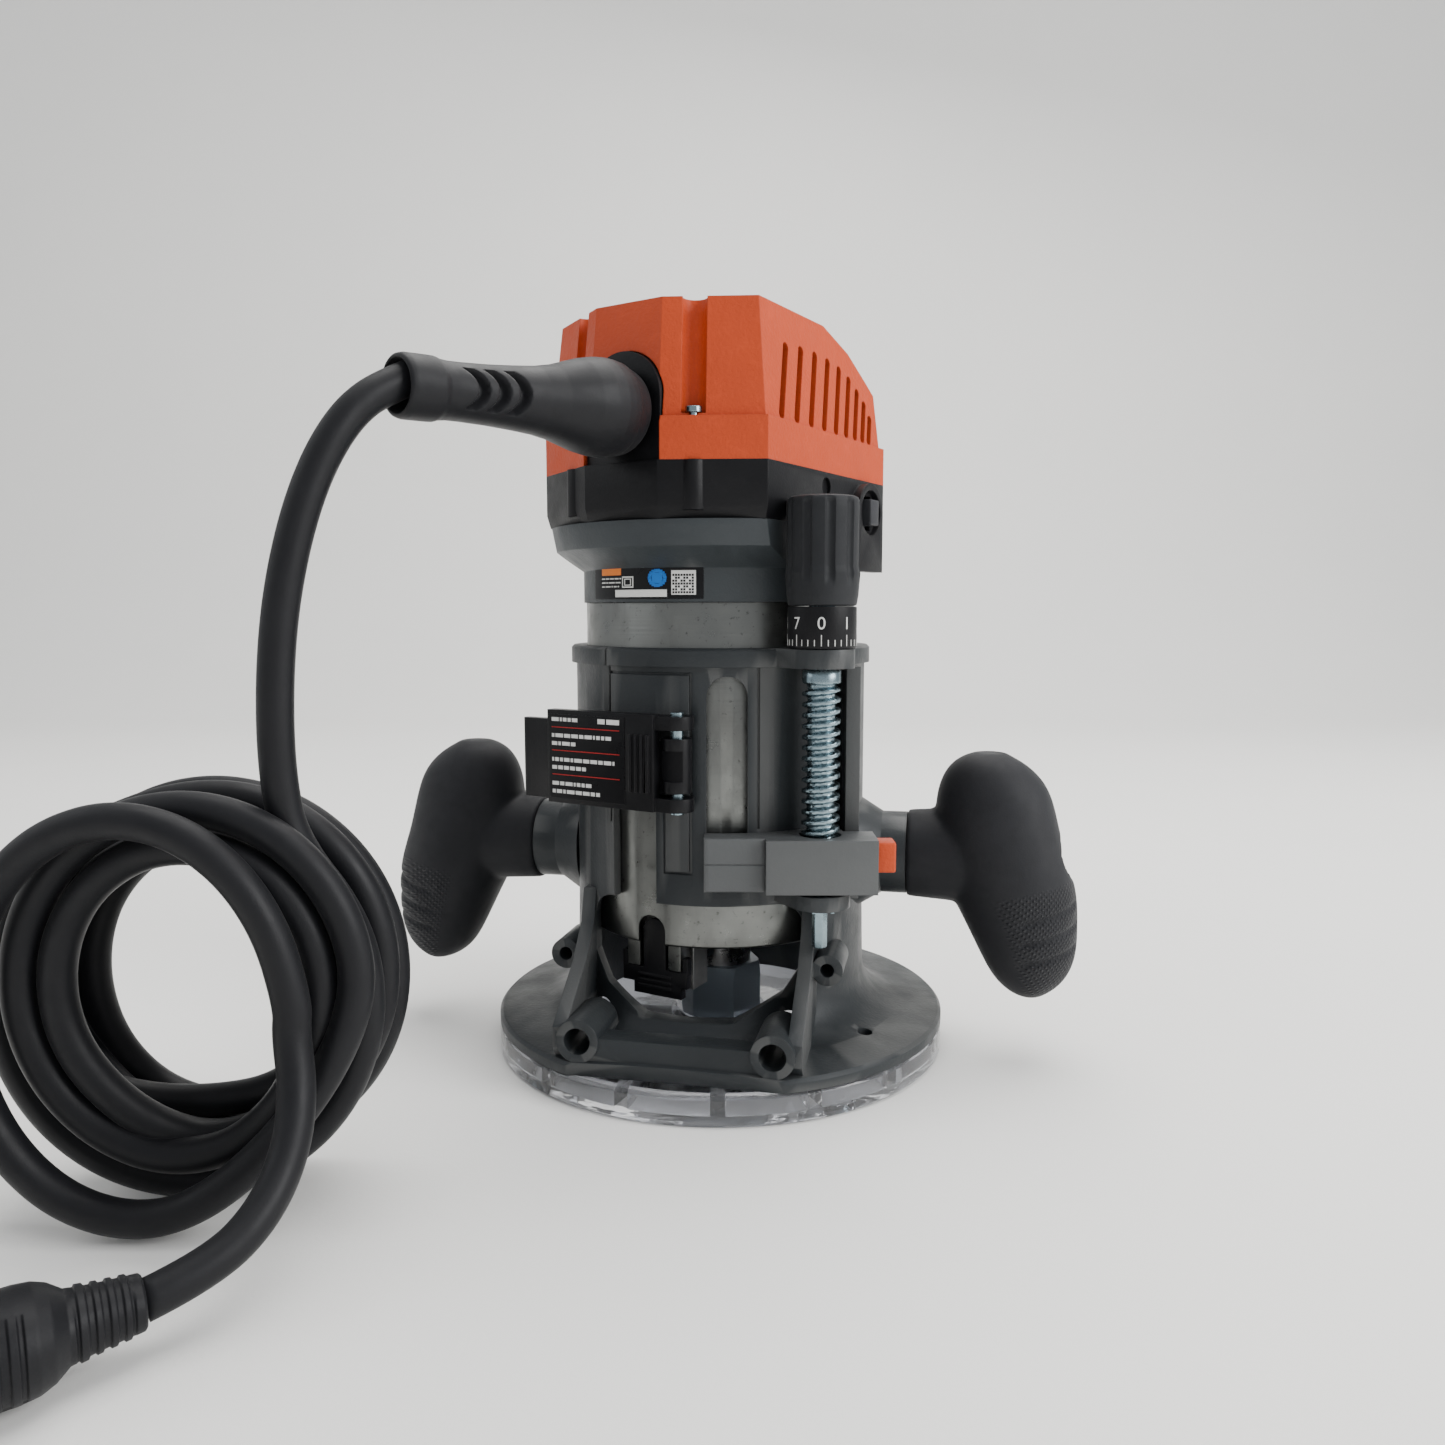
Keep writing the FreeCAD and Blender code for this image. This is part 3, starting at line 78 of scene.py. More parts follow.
SLOTS = {part["node"]: part["material_slot"] for part in frame["record"]["subparts"]}
MM = 0.001

# Turns about Z from the front (-Y), positive towards +X, in degrees.
HEAD_TURN = -20.0
LEVER_TURN = -18.0
BRACKET_TURN = 12.0
LOCK_TURN = -17.0
CORD_TURN = 11.8


def turned_point(turn, across, outwards, height):
    """A point in millimetres of a frame turned about Z, as metres in the row frame."""
    a = radians(turn)
    return Vector((across * cos(a) + outwards * sin(a), across * sin(a) - outwards * cos(a), height)) * MM


def turned_matrix(turn, across=0.0, outwards=0.0, height=0.0):
    """X runs across, Y runs inwards and Z up, from a place in a turned frame."""
    return Matrix.Translation(turned_point(turn, across, outwards, height)) @ Matrix.Rotation(
        radians(turn), 4, "Z")


# ------------------------------------------------------------------ finishes


class Finish:
    """A Principled material with helpers that add procedural detail in object space."""

    def __init__(self, name, colour, rough, metal=0.0, edge=0.0004, **sockets):
        self.material = bpy.data.materials.new(name)
        self.material.use_nodes = True
        self.tree = self.material.node_tree
        self.shader = self.tree.nodes["Principled BSDF"]
        self.colour = (*colour, 1.0)
        self.rough = rough
        self.shader.inputs["Base Color"].default_value = self.colour
        self.shader.inputs["Roughness"].default_value = rough
        self.shader.inputs["Metallic"].default_value = metal
        for socket, value in sockets.items():
            self.shader.inputs[socket.replace("_", " ")].default_value = value
        self.place = self.add("ShaderNodeTexCoord").outputs["Object"]
        self.colour_out = None
        self.normal_out = None
        if edge:
            rounded = self.add("ShaderNodeBevel", Radius=edge)
            rounded.samples = 4
            self.normal_out = rounded.outputs["Normal"]

    def add(self, kind, **inputs):
        new = self.tree.nodes.new(kind)
        for key, value in inputs.items():
            socket = new.inputs[key.replace("_", " ")]
            if isinstance(value, bpy.types.NodeSocket):
                self.tree.links.new(value, socket)
            else:
                socket.default_value = value
        return new

    def link(self, source, target):
        self.tree.links.new(source, target)

    def stretched(self, stretch):
        mapping = self.add("ShaderNodeMapping", Vector=self.place)
        mapping.inputs["Scale"].default_value = stretch
        return mapping.outputs["Vector"]

    def noise(self, grain, detail=3.0, stretch=(1, 1, 1)):
        """Noise whose features are about grain metres wide."""
        made = self.add("ShaderNodeTexNoise", Vector=self.stretched(stretch), Scale=1 / grain,
                        Detail=detail, Roughness=0.6)
        return made.outputs["Fac"]

    def between(self, value, low, high, out_low, out_high):
        made = self.add("ShaderNodeMapRange", Value=value)
        for socket, number in zip(("From Min", "From Max", "To Min", "To Max"),
                                  (low, high, out_low, out_high)):
            made.inputs[socket].default_value = number
        return made.outputs["Result"]

    def product(self, first, second):
        made = self.add("ShaderNodeMath", Value=first)
        made.operation = "MULTIPLY"
        self.link(second, made.inputs[1])
        return made.outputs["Value"]

    def tint(self, value, colour, low, high, most=1.0):
        """Blend towards a colour as value goes from low to high."""
        mix = self.add("ShaderNodeMix")
        mix.data_type = "RGBA"
        self.link(self.between(value, low, high, 0.0, most), mix.inputs["Factor"])
        if self.colour_out is None:
            mix.inputs[6].default_value = self.colour
        else:
            self.link(self.colour_out, mix.inputs[6])
        mix.inputs[7].default_value = (*colour, 1.0)
        self.colour_out = mix.outputs[2]
        self.link(self.colour_out, self.shader.inputs["Base Color"])
        return self

    def vary_rough(self, value, low, high, spread):
        out = self.between(value, low, high, self.rough - spread, self.rough + spread)
        self.link(out, self.shader.inputs["Roughness"])
        return self

    def bump(self, value, height, strength=1.0):
        """Relief of that height in metres."""
        made = self.add("ShaderNodeBump", Strength=strength, Distance=height, Height=value)
        if self.normal_out is not None:
            self.link(self.normal_out, made.inputs["Normal"])
        self.normal_out = made.outputs["Normal"]
        self.link(self.normal_out, self.shader.inputs["Normal"])
        return self

    def worn(self, colour, amount=0.5):
        """Paler, rubbed colour where edges stand proud."""
        edge = self.add("ShaderNodeNewGeometry").outputs["Pointiness"]
        return self.tint(edge, colour, 0.53, 0.62, amount)


def paint(name, colour, grime=0.35):
    """Satin paint over a sand-cast skin."""
    made = Finish(name, colour, 0.44, 0.15, Specular_IOR_Level=0.3)
    dark = tuple(c * 0.62 for c in colour)
    light = tuple(min(1, c * 1.22) for c in colour)
    made.tint(made.noise(0.035, 4.0), dark, 0.45, 0.75, grime)
    made.tint(made.noise(0.006, 3.0), light, 0.5, 0.75, 0.25)
    made.vary_rough(made.noise(0.012, 4.0), 0.3, 0.7, 0.09)
    made.bump(made.noise(0.0011, 3.0), 0.00016, 0.55)
    return made.worn((0.16, 0.16, 0.155), 0.3)


def moulded(name, colour, rough, grain=0.0007, relief=0.00008, **sockets):
    """Moulded plastic with a fine spark-eroded texture."""
    made = Finish(name, colour, rough, Specular_IOR_Level=0.2, **sockets)
    made.tint(made.noise(0.03, 3.0), tuple(c * 0.75 for c in colour), 0.45, 0.8, 0.35)
    made.tint(made.noise(0.004, 2.0), tuple(min(1, c * 1.3 + 0.004) for c in colour), 0.55, 0.8, 0.3)
    made.vary_rough(made.noise(0.009, 3.0), 0.3, 0.7, 0.06)
    made.bump(made.noise(grain, 2.0), relief, 0.6)
    return made


def rubber(name, colour, rough=0.62):
    made = Finish(name, colour, rough, Specular_IOR_Level=0.22, Sheen_Weight=0.03,
                  Sheen_Roughness=0.5)
    made.tint(made.noise(0.022, 4.0), tuple(c * 1.45 + 0.004 for c in colour), 0.5, 0.8, 0.35)
    made.tint(made.noise(0.0035, 3.0), tuple(c * 0.6 for c in colour), 0.5, 0.75, 0.35)
    made.vary_rough(made.noise(0.01, 3.0), 0.3, 0.7, 0.07)
    made.bump(made.noise(0.0006, 2.0), 0.00006, 0.5)
    return made


def steel(name, colour, rough, grain=(1, 1, 1), relief=0.00002):
    """Bare or plated steel with tool marks along one way."""
    made = Finish(name, colour, rough, 1.0)
    made.tint(made.noise(0.01, 4.0), tuple(c * 0.6 for c in colour), 0.45, 0.75, 0.4)
    made.vary_rough(made.noise(0.004, 4.0, grain), 0.3, 0.7, 0.1)
    made.bump(made.noise(0.0008, 3.0, grain), relief, 0.6)
    return made


def turned_aluminium():
    """Barrel turned on a lathe: fine rings, rubbed and smeared by the clamp."""
    made = Finish("turned_aluminium", (0.175, 0.18, 0.172), 0.36, 1.0)
    made.tint(made.noise(0.012, 5.0, (1, 1, 0.35)), (0.10, 0.10, 0.095), 0.5, 0.78, 0.7)
    made.tint(made.noise(0.0016, 3.0), (0.07, 0.07, 0.065), 0.62, 0.72, 0.65)
    made.vary_rough(made.noise(0.008, 4.0), 0.3, 0.7, 0.12)
    made.bump(made.noise(0.0011, 2.0, (0.02, 0.02, 1.4)), 0.00005, 0.7)
    return made


def windings():
    made = Finish("enamelled_wire", (0.50, 0.17, 0.05), 0.28, 0.7)
    strands = made.add("ShaderNodeTexWave", Vector=made.place, Scale=420.0, Distortion=1.5)
    made.tint(strands.outputs["Fac"], (0.16, 0.045, 0.015), 0.2, 0.8, 0.8)
    made.bump(strands.outputs["Fac"], 0.0003, 0.8)
    return made


def laminations():
    made = Finish("laminations", (0.20, 0.20, 0.21), 0.45, 0.9)
    plates = made.add("ShaderNodeTexWave", Vector=made.place, Scale=300.0)
    plates.bands_direction = "Z"
    made.tint(plates.outputs["Fac"], (0.05, 0.05, 0.055), 0.3, 0.7, 0.8)
    made.bump(plates.outputs["Fac"], 0.0002, 0.7)
    return made


def clear_plastic():
    """Clear polycarbonate with moulding ripples and a few scuffs."""
    made = Finish("clear_polycarbonate", (0.93, 0.94, 0.98), 0.045, 0.0, Transmission_Weight=0.96,
                  IOR=1.53)
    made.vary_rough(made.noise(0.02, 5.0), 0.45, 0.8, 0.04)
    made.bump(made.noise(0.011, 2.0), 0.00035, 0.35)
    return made


def grip_rubber():
    """Charcoal overmould whose outer lower zones carry a raised diamond pattern."""
    made = rubber("grip_rubber", (0.0125, 0.013, 0.0155), 0.62)
    waves = []
    for direction in ((1.0, 1.0, 1.25), (1.0, 1.0, -1.25)):
        along = made.add("ShaderNodeVectorMath")
        along.operation = "DOT_PRODUCT"
        made.link(made.place, along.inputs[0])
        along.inputs[1].default_value = direction
        phase = made.add("ShaderNodeMath", Value=along.outputs["Value"])
        phase.operation = "MULTIPLY"
        phase.inputs[1].default_value = 2 * pi / 0.0024
        wave = made.add("ShaderNodeMath", Value=phase.outputs["Value"])
        wave.operation = "SINE"
        waves.append(made.between(wave.outputs["Value"], -0.6, 0.9, 0.0, 1.0))
    diamonds = made.product(*waves)
    zone = made.add("ShaderNodeAttribute")
    zone.attribute_name = "dotted"
    raised = made.product(diamonds, zone.outputs["Fac"])
    made.tint(raised, (0.030, 0.031, 0.035), 0.1, 1.0, 0.6)
    made.bump(raised, 0.0005, 1.0)
    return made


FINISHES = {
    "clear_plastic": clear_plastic(),
    "zinc_steel": steel("zinc_plate", (0.26, 0.34, 0.375), 0.24),
    "grey_casting": paint("grey_paint", (0.023, 0.0265, 0.029)),
    "grip_rubber": grip_rubber(),
    "black_plastic": moulded("black_plastic", (0.0045, 0.0045, 0.0055), 0.42),
    "grey_plastic": moulded("grey_plastic", (0.030, 0.031, 0.035), 0.5),
    "orange_plastic": moulded("orange_plastic", (0.47, 0.058, 0.016), 0.5, 0.0012, 0.0003),
    "bare_steel": steel("bare_steel", (0.42, 0.42, 0.42), 0.3),
    "dark_steel": steel("dark_steel", (0.30, 0.34, 0.38), 0.36),
    "machined_aluminium": turned_aluminium(),
    "cast_aluminium": steel("cast_aluminium", (0.42, 0.42, 0.41), 0.45, relief=0.0001),
    "lamination_steel": laminations(),
    "copper": windings(),
    "brass": steel("brass", (0.62, 0.42, 0.16), 0.28),
    "carbon": moulded("carbon", (0.02, 0.02, 0.02), 0.55),
    "board_green": moulded("solder_mask", (0.01, 0.09, 0.03), 0.3, Coat_Weight=0.3),
    "cord_rubber": rubber("cord_rubber", (0.0062, 0.0064, 0.008), 0.5),
}
HEAD_PAINT = paint("head_paint", (0.035, 0.041, 0.045), 0.3)
# A lighter copy of the grey paint for the bracket: painted light, for the light that its upward and outward
# faces catch.
BRACKET_PAINTED_LIGHT = paint("bracket_painted_light", (0.082, 0.086, 0.088), 0.3)
KNOB_RUBBER = rubber("knob_rubber", (0.0135, 0.0145, 0.0165), 0.6)
# Blue-grey zinc, made lighter and less metallic than the nut is: the extra lightness is painted light,
# standing in for what the nut reflects in its shade.
NUT_ZINC_PAINTED_LIGHT = Finish("blued_zinc_painted_light", (0.30, 0.35, 0.40), 0.42, 0.35)
INK_WHITE = moulded("ink_white", (0.72, 0.72, 0.70), 0.5, relief=0.00001)
INK_ORANGE = moulded("ink_orange", (0.75, 0.20, 0.03), 0.5, relief=0.00001)
INK_RED = moulded("ink_red", (0.45, 0.02, 0.02), 0.5, relief=0.00001)
INK_BLUE = moulded("ink_blue", (0.02, 0.16, 0.55), 0.5, relief=0.00001)
LABEL_BLACK = moulded("label_black", (0.005, 0.005, 0.006), 0.3, relief=0.00001)
# The bracket and its screws wear the lighter copy of the grey paint, which is painted light.
SPECIAL = {"head_casting": HEAD_PAINT, "depth_knob": KNOB_RUBBER, "motor_bracket": BRACKET_PAINTED_LIGHT,
           # The collet nut's lightened zinc carries painted light.
           "bracket_screws": BRACKET_PAINTED_LIGHT, "collet_nut": NUT_ZINC_PAINTED_LIGHT}


def dress(thing, finish):
    thing.data.materials.clear()
    thing.data.materials.append(finish.material)


def piece_from(name, vertices, faces, body, slot_name, finish=None, replaced=(), smooth=35.0):
    """A mesh piece, in metres in the row frame, that rides on a body."""
    mesh = bpy.data.meshes.new(name)
    mesh.from_pydata([tuple(v) for v in vertices], [], faces)
    mesh.validate()
    return settle(name, mesh, body, slot_name, finish, replaced, smooth)


def settle(name, mesh, body, slot_name, finish=None, replaced=(), smooth=35.0):
    thing = bpy.data.objects.new(name, mesh)
    bpy.context.scene.collection.objects.link(thing)
    dress(thing, finish or FINISHES[slot_name])
    if smooth is not None:
        mesh.shade_smooth()
        mesh.set_sharp_from_angle(angle=radians(smooth))
    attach(thing, body)
    if replaced:
        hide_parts(*replaced)
    return thing


# -------------------------------------------------------------- CAD finishes

# Vertices closer than this are one. Edges under the flat angle are dissolved, those over the sharp rounded.
WELD_DISTANCE = 2e-6
FLAT_ANGLE = radians(0.6)
SHARP_ANGLE = radians(28)


def softened(node, width):
    """A copy of a CAD piece whose sharp edges are rounded, standing for the CAD node."""
    source = NODES[node]
    work = bmesh.new()
    work.from_mesh(source.data)
    bmesh.ops.remove_doubles(work, verts=work.verts, dist=WELD_DISTANCE)
    bmesh.ops.dissolve_limit(work, angle_limit=FLAT_ANGLE, verts=work.verts, edges=work.edges,
                             delimit={"NORMAL"})
    sharp = [e for e in work.edges if len(e.link_faces) == 2 and e.calc_face_angle(0) > SHARP_ANGLE]
    bmesh.ops.bevel(work, geom=sharp, offset=width, offset_type="OFFSET", segments=2, profile=0.6,
                    affect="EDGES", clamp_overlap=True, miter_outer="ARC")
    bmesh.ops.triangulate(work, faces=[f for f in work.faces if len(f.verts) > 4])
    mesh = bpy.data.meshes.new(node + "_finished")
    work.to_mesh(mesh)
    work.free()
    settle(node + "_finished", mesh, source["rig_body"], SLOTS[node], SPECIAL.get(node), [node])


# The CAD nodes whose edges are rounded, with the width in millimetres. The top cap isn't one of them,
# because rounding breaks its vents.
SOFT_EDGES = [("base_casting", 0.8), ("motor_bracket", 1.1), ("clamp_lever", 0.6), ("clamp_link", 0.5),
              ("head_housing", 0.6), ("head_casting", 0.6), ("switch_rocker", 0.6),
              ("release_button", 0.7), ("depth_ring", 0.4), ("spindle_lock", 0.4),
              ("sub_base", 0.5), ("motor_barrel", 0.4)]


def dress_cad():
    """Every CAD node gets its slot's finish."""
    for node, thing in NODES.items():
        dress(thing, SPECIAL.get(node, FINISHES[SLOTS[node]]))


# --------------------------------------------------------------------- cord

CORD_RADIUS = 4.2 * MM
# Across, towards the front and height in the frame turned by CORD_TURN, in metres.
LEAD = [(-0.0742, 0.0972, 0.2014), (-0.0786, 0.1011, 0.1986), (-0.0846, 0.1064, 0.1934),
        (-0.0898, 0.1103, 0.1851), (-0.0944, 0.1129, 0.1743), (-0.0983, 0.1147, 0.1610),
        (-0.1016, 0.1157, 0.1444), (-0.1034, 0.1159, 0.1255), (-0.1038, 0.1150, 0.1065),
        (-0.1020, 0.1135, 0.0906)]
TAIL = [(-0.0970, 0.1300, 0.0500), (-0.0945, 0.1335, 0.0380), (-0.0935, 0.1410, 0.0275),
        (-0.0955, 0.1515, 0.0190), (-0.1020, 0.1615, 0.0134), (-0.1120, 0.1690, 0.0112)]
PLUG_END = (-0.1435, 0.1926, 0.0112)
# Each lane of the tied hank: depth, centre across, centre height, half width, half height.
LANES = [(0.0938, -0.1285, 0.0530, 0.0450, 0.0470), (0.1029, -0.1250, 0.0565, 0.0415, 0.0440),
         (0.1120, -0.1300, 0.0520, 0.0455, 0.0475), (0.1211, -0.1240, 0.0575, 0.0405, 0.0430),
         (0.1302, -0.1340, 0.0520, 0.0380, 0.0475)]
# The order in which the turns fill the lanes, and whether each lies inside another.
TURNS = [(2, 0), (1, 0), (0, 0), (0, 1), (1, 1), (2, 1), (3, 1), (3, 0), (4, 0)]
START_ANGLE = radians(42.0)
TURN_ANGLE = radians(330.0)
# How much smaller an inside turn is each way, in metres.
STEP_SIZE = 0.0091
POINTS_PER_TURN = 14
# The last turn stops short by this share, and a change of lane takes up this part of a turn.
LAST_TURN_SHORT = 0.12
CHANGE_START, CHANGE_LENGTH = 0.77, 0.23


def in_row(point):
    """From (across, towards the front, height) in the cord's frame to the row frame."""
    a = radians(CORD_TURN)
    return Vector((point[0] * cos(a) + point[1] * sin(a), point[0] * sin(a) - point[1] * cos(a),
                   point[2]))


def lane_values(turn_index):
    lane, inside = TURNS[turn_index]
    depth, across, height, half_width, half_height = LANES[lane]
    return np.array((depth, across, height, half_width - inside * STEP_SIZE,
                     half_height - inside * STEP_SIZE))


def hank_points():
    """Turns that go from lane to lane, each change in the last part of a turn."""
    count = int((len(TURNS) - LAST_TURN_SHORT) * POINTS_PER_TURN)
    found = []
    for i in range(count + 1):
        done = i / POINTS_PER_TURN
        index = min(int(done), len(TURNS) - 1)
        part = done - index
        values = lane_values(index)
        if part > CHANGE_START and index + 1 < len(TURNS):
            share = (part - CHANGE_START) / CHANGE_LENGTH
            share = share * share * (3 - 2 * share)
            values = values + (lane_values(index + 1) - values) * share
        depth, across, height, half_width, half_height = values
        angle = START_ANGLE + done * TURN_ANGLE
        found.append((across + half_width * sin(angle), depth, height + half_height * cos(angle)))
    return found


def route_line(name, points):
    """Points along the smooth line of a route, as a NURBS spline gives them."""
    curve = bpy.data.curves.new(name, "CURVE")
    curve.dimensions = "3D"
    spline = curve.splines.new("NURBS")
    spline.points.add(len(points) - 1)
    for target, point in zip(spline.points, points):
        target.co = (*in_row(point), 1.0)
    spline.order_u = 3
    spline.use_endpoint_u = True
    curve.resolution_u = 10
    guide = bpy.data.objects.new(name, curve)
    bpy.context.scene.collection.objects.link(guide)
    bpy.context.view_layer.update()
    line = bpy.data.meshes.new_from_object(guide)
    found = [v.co.copy() for v in line.vertices]
    bpy.data.objects.remove(guide)
    return found


def tube_mesh(name, line, radius, sides=20):
    """A round tube along a line, with closed ends and no twist."""
    vertices, faces = [], []
    tangent = (line[1] - line[0]).normalized()
    side = tangent.orthogonal().normalized()
    for i, point in enumerate(line):
        ahead = (line[min(i + 1, len(line) - 1)] - line[max(i - 1, 0)]).normalized()
        side = (side - ahead * side.dot(ahead)).normalized()
        other = ahead.cross(side)
        for k in range(sides):
            a = 2 * pi * k / sides
            vertices.append(point + side * (radius * cos(a)) + other * (radius * sin(a)))
    for i in range(len(line) - 1):
        for k in range(sides):
            a, b = i * sides + k, i * sides + (k + 1) % sides
            faces.append((a, b, b + sides, a + sides))
    faces.append(tuple(reversed(range(sides))))
    faces.append(tuple(range((len(line) - 1) * sides, len(line) * sides)))
    mesh = bpy.data.meshes.new(name)
    mesh.from_pydata([tuple(v) for v in vertices], [], faces)
    mesh.validate()
    return mesh


def make_cord():
    line = route_line("route", LEAD + hank_points()[1:] + TAIL)
    mesh = tube_mesh("power_cord", line, CORD_RADIUS)
    cord = bpy.data.objects.new("power_cord", mesh)
    bpy.context.scene.collection.objects.link(cord)
    dress(cord, FINISHES["cord_rubber"])
    mesh.shade_smooth()
    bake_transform(cord)
    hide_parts("cord_lead", "cord_hank", "cord_tail")
    return cord, line


cord, cord_line = make_cord()

# ------------------------------------------------------------------ handles


def clean_mesh(node):
    """A joined-up copy of a CAD node's mesh."""
    work = bmesh.new()
    work.from_mesh(NODES[node].data)
    bmesh.ops.remove_doubles(work, verts=work.verts, dist=WELD_DISTANCE)
    mesh = bpy.data.meshes.new(node + "_copy")
    work.to_mesh(mesh)
    work.free()
    return mesh


def remeshed(node, voxel, smoothing):
    """The node's shape as an even, smoothed skin."""
    holder = bpy.data.objects.new(node + "_work", clean_mesh(node))
    bpy.context.scene.collection.objects.link(holder)
    even = holder.modifiers.new("even", "REMESH")
    even.mode = "VOXEL"
    even.voxel_size = voxel
    soft = holder.modifiers.new("soft", "SMOOTH")
    soft.factor = 0.5
    soft.iterations = smoothing
    bpy.context.view_layer.update()
    graph = bpy.context.evaluated_depsgraph_get()
    mesh = bpy.data.meshes.new_from_object(holder.evaluated_get(graph))
    bpy.data.objects.remove(holder)
    return mesh


def step_between(value, low, high):
    share = np.clip((value - low) / (high - low), 0, 1)
    return share * share * (3 - 2 * share)


GROOVE_HEIGHTS = (33.5, 40.5, 47.5)
SKIN_VOXEL, SKIN_SMOOTHING = 0.8 * MM, 14


def make_handle(side, name):
    """Rubber grip: crescent grooves front and back, in millimetres up, in a dotted zone at its foot."""
    mesh = remeshed("handle_" + name, SKIN_VOXEL, SKIN_SMOOTHING)
    count = len(mesh.vertices)
    points = np.zeros(count * 3)
    mesh.vertices.foreach_get("co", points)
    points = points.reshape(-1, 3)
    normals = np.array([v.normal[:] for v in mesh.vertices])
    out, depth, height = points[:, 0] * side / MM, np.abs(points[:, 1]) / MM, points[:, 2] / MM
    facing = step_between(normals[:, 0] * side + 0.9 * np.abs(normals[:, 1]), 0.45, 0.8)
    carved = np.zeros(count)
    for start_height in GROOVE_HEIGHTS:
        line = start_height + 5.5 * np.clip((out - 97) / 21, 0, 1.2) ** 1.3
        across = np.exp(-((height - line) / 0.95) ** 2)
        carved += across * step_between(out, 96.5, 101.5) * step_between(depth, 3.0, 7.0) * facing
    points -= normals * (carved * 0.9 * MM)[:, None]
    mesh.vertices.foreach_set("co", points.ravel())
    border = 61.0 - 0.22 * (118 - out)
    zone = step_between(border - height, -1.0, 2.5) * step_between(height, 21.5, 24.0) * facing
    zone *= 1 - 0.8 * np.clip(carved, 0, 1)
    mesh.attributes.new("dotted", "FLOAT", "POINT").data.foreach_set("value", zone.astype(np.float32))
    mesh.update()
    return settle("grip_" + name, mesh, "base", "grip_rubber", None, ["handle_" + name], None)


for handle_side, handle_name in ((1, "right"), (-1, "left")):
    make_handle(handle_side, handle_name).data.shade_smooth()


# ------------------------------------------------------------ depth adjuster

SCREW = (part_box("star_washer")[0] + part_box("star_washer")[1]) / 2
PITCH = 3.175 * MM
CREST, ROOT = 5.65 * MM, 4.05 * MM
THREAD_LOW, THREAD_HIGH = 0.058, 0.1235


def rounds(name, rings, sides, body, slot_name, replaced=(), finish=None, smooth=35.0):
    """A closed skin over rings; each ring is a function of the angle giving a point."""
    vertices, faces = [], []
    for ring in rings:
        vertices += [ring(2 * pi * k / sides) for k in range(sides)]
    for i in range(len(rings) - 1):
        for k in range(sides):
            a, b = i * sides + k, i * sides + (k + 1) % sides
            faces.append((a, b, b + sides, a + sides))
    faces.append(tuple(reversed(range(sides))))
    faces.append(tuple(range((len(rings) - 1) * sides, len(rings) * sides)))
    return piece_from(name, vertices, faces, body, slot_name, finish, replaced, smooth)


def make_depth_screw():
    """Zinc screw with a real 1/8 in thread, a plain collar above and a hex tail below."""
    def thread_ring(height):
        def point(angle):
            phase = (height / PITCH - angle / (2 * pi)) % 1.0
            rise = np.clip(min(phase, 1 - phase) * 5.2 - 0.75, 0, 1)
            ends = min(1.0, (height - THREAD_LOW) / (0.4 * PITCH), (THREAD_HIGH - height) / (0.4 * PITCH))
            radius = ROOT + (CREST - ROOT) * float(rise) * max(0.0, ends)
            return (SCREW.x + radius * cos(angle), SCREW.y + radius * sin(angle), height)
        return point

    def plain_ring(radius, height):
        return lambda angle: (SCREW.x + radius * cos(angle), SCREW.y + radius * sin(angle), height)

    def hex_ring(radius, height):
        def point(angle):
            reach = radius * cos(pi / 6) / cos((angle % (pi / 3)) - pi / 6)
            return (SCREW.x + reach * cos(angle), SCREW.y + reach * sin(angle), height)
        return point

    rings = [hex_ring(2.0 * MM, 0.0448), hex_ring(2.3 * MM, 0.0452), hex_ring(2.3 * MM, 0.0578),
             plain_ring(3.9 * MM, 0.0579)]
    rings += [thread_ring(z) for z in np.linspace(THREAD_LOW, THREAD_HIGH, 250)]
    rings += [plain_ring(r * MM, z) for r, z in (
        (5.4, 0.1238), (5.7, 0.1242), (5.7, 0.1274), (5.4, 0.12785), (3.95, 0.12786), (3.95, 0.1546))]
    rounds("depth_screw_thread", rings, 48, "depth_adjuster", "zinc_steel", ["depth_screw"])


def make_star_washer():
    """Toothed lock washer whose teeth are bent up and down in turn."""
    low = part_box("star_washer")[0].z
    teeth, steps = 14, 8
    vertices, faces = [], []
    for i in range(teeth * steps):
        angle = 2 * pi * i / (teeth * steps)
        phase = (i % steps) / steps
        tooth = 1.0 if phase < 0.5 else 0.0
        bend = (0.35 if (i // steps) % 2 else -0.35) * tooth
        for radius, lift in ((2.4, 0.0), (4.7, 0.0), (4.7 + 1.9 * tooth, bend)):
            for base in (0.2, 0.8):
                vertices.append((SCREW.x + radius * MM * cos(angle), SCREW.y + radius * MM * sin(angle),
                                 low + (base + lift * 0.5) * MM))
    total = teeth * steps
    for i in range(total):
        j = (i + 1) % total
        for a, b in ((0, 2), (2, 4), (4, 5), (5, 3), (3, 1), (1, 0)):
            faces.append((6 * i + a, 6 * i + b, 6 * j + b, 6 * j + a))
    piece_from("star_washer_teeth", vertices, faces, "depth_adjuster", "zinc_steel", None,
               ["star_washer"])


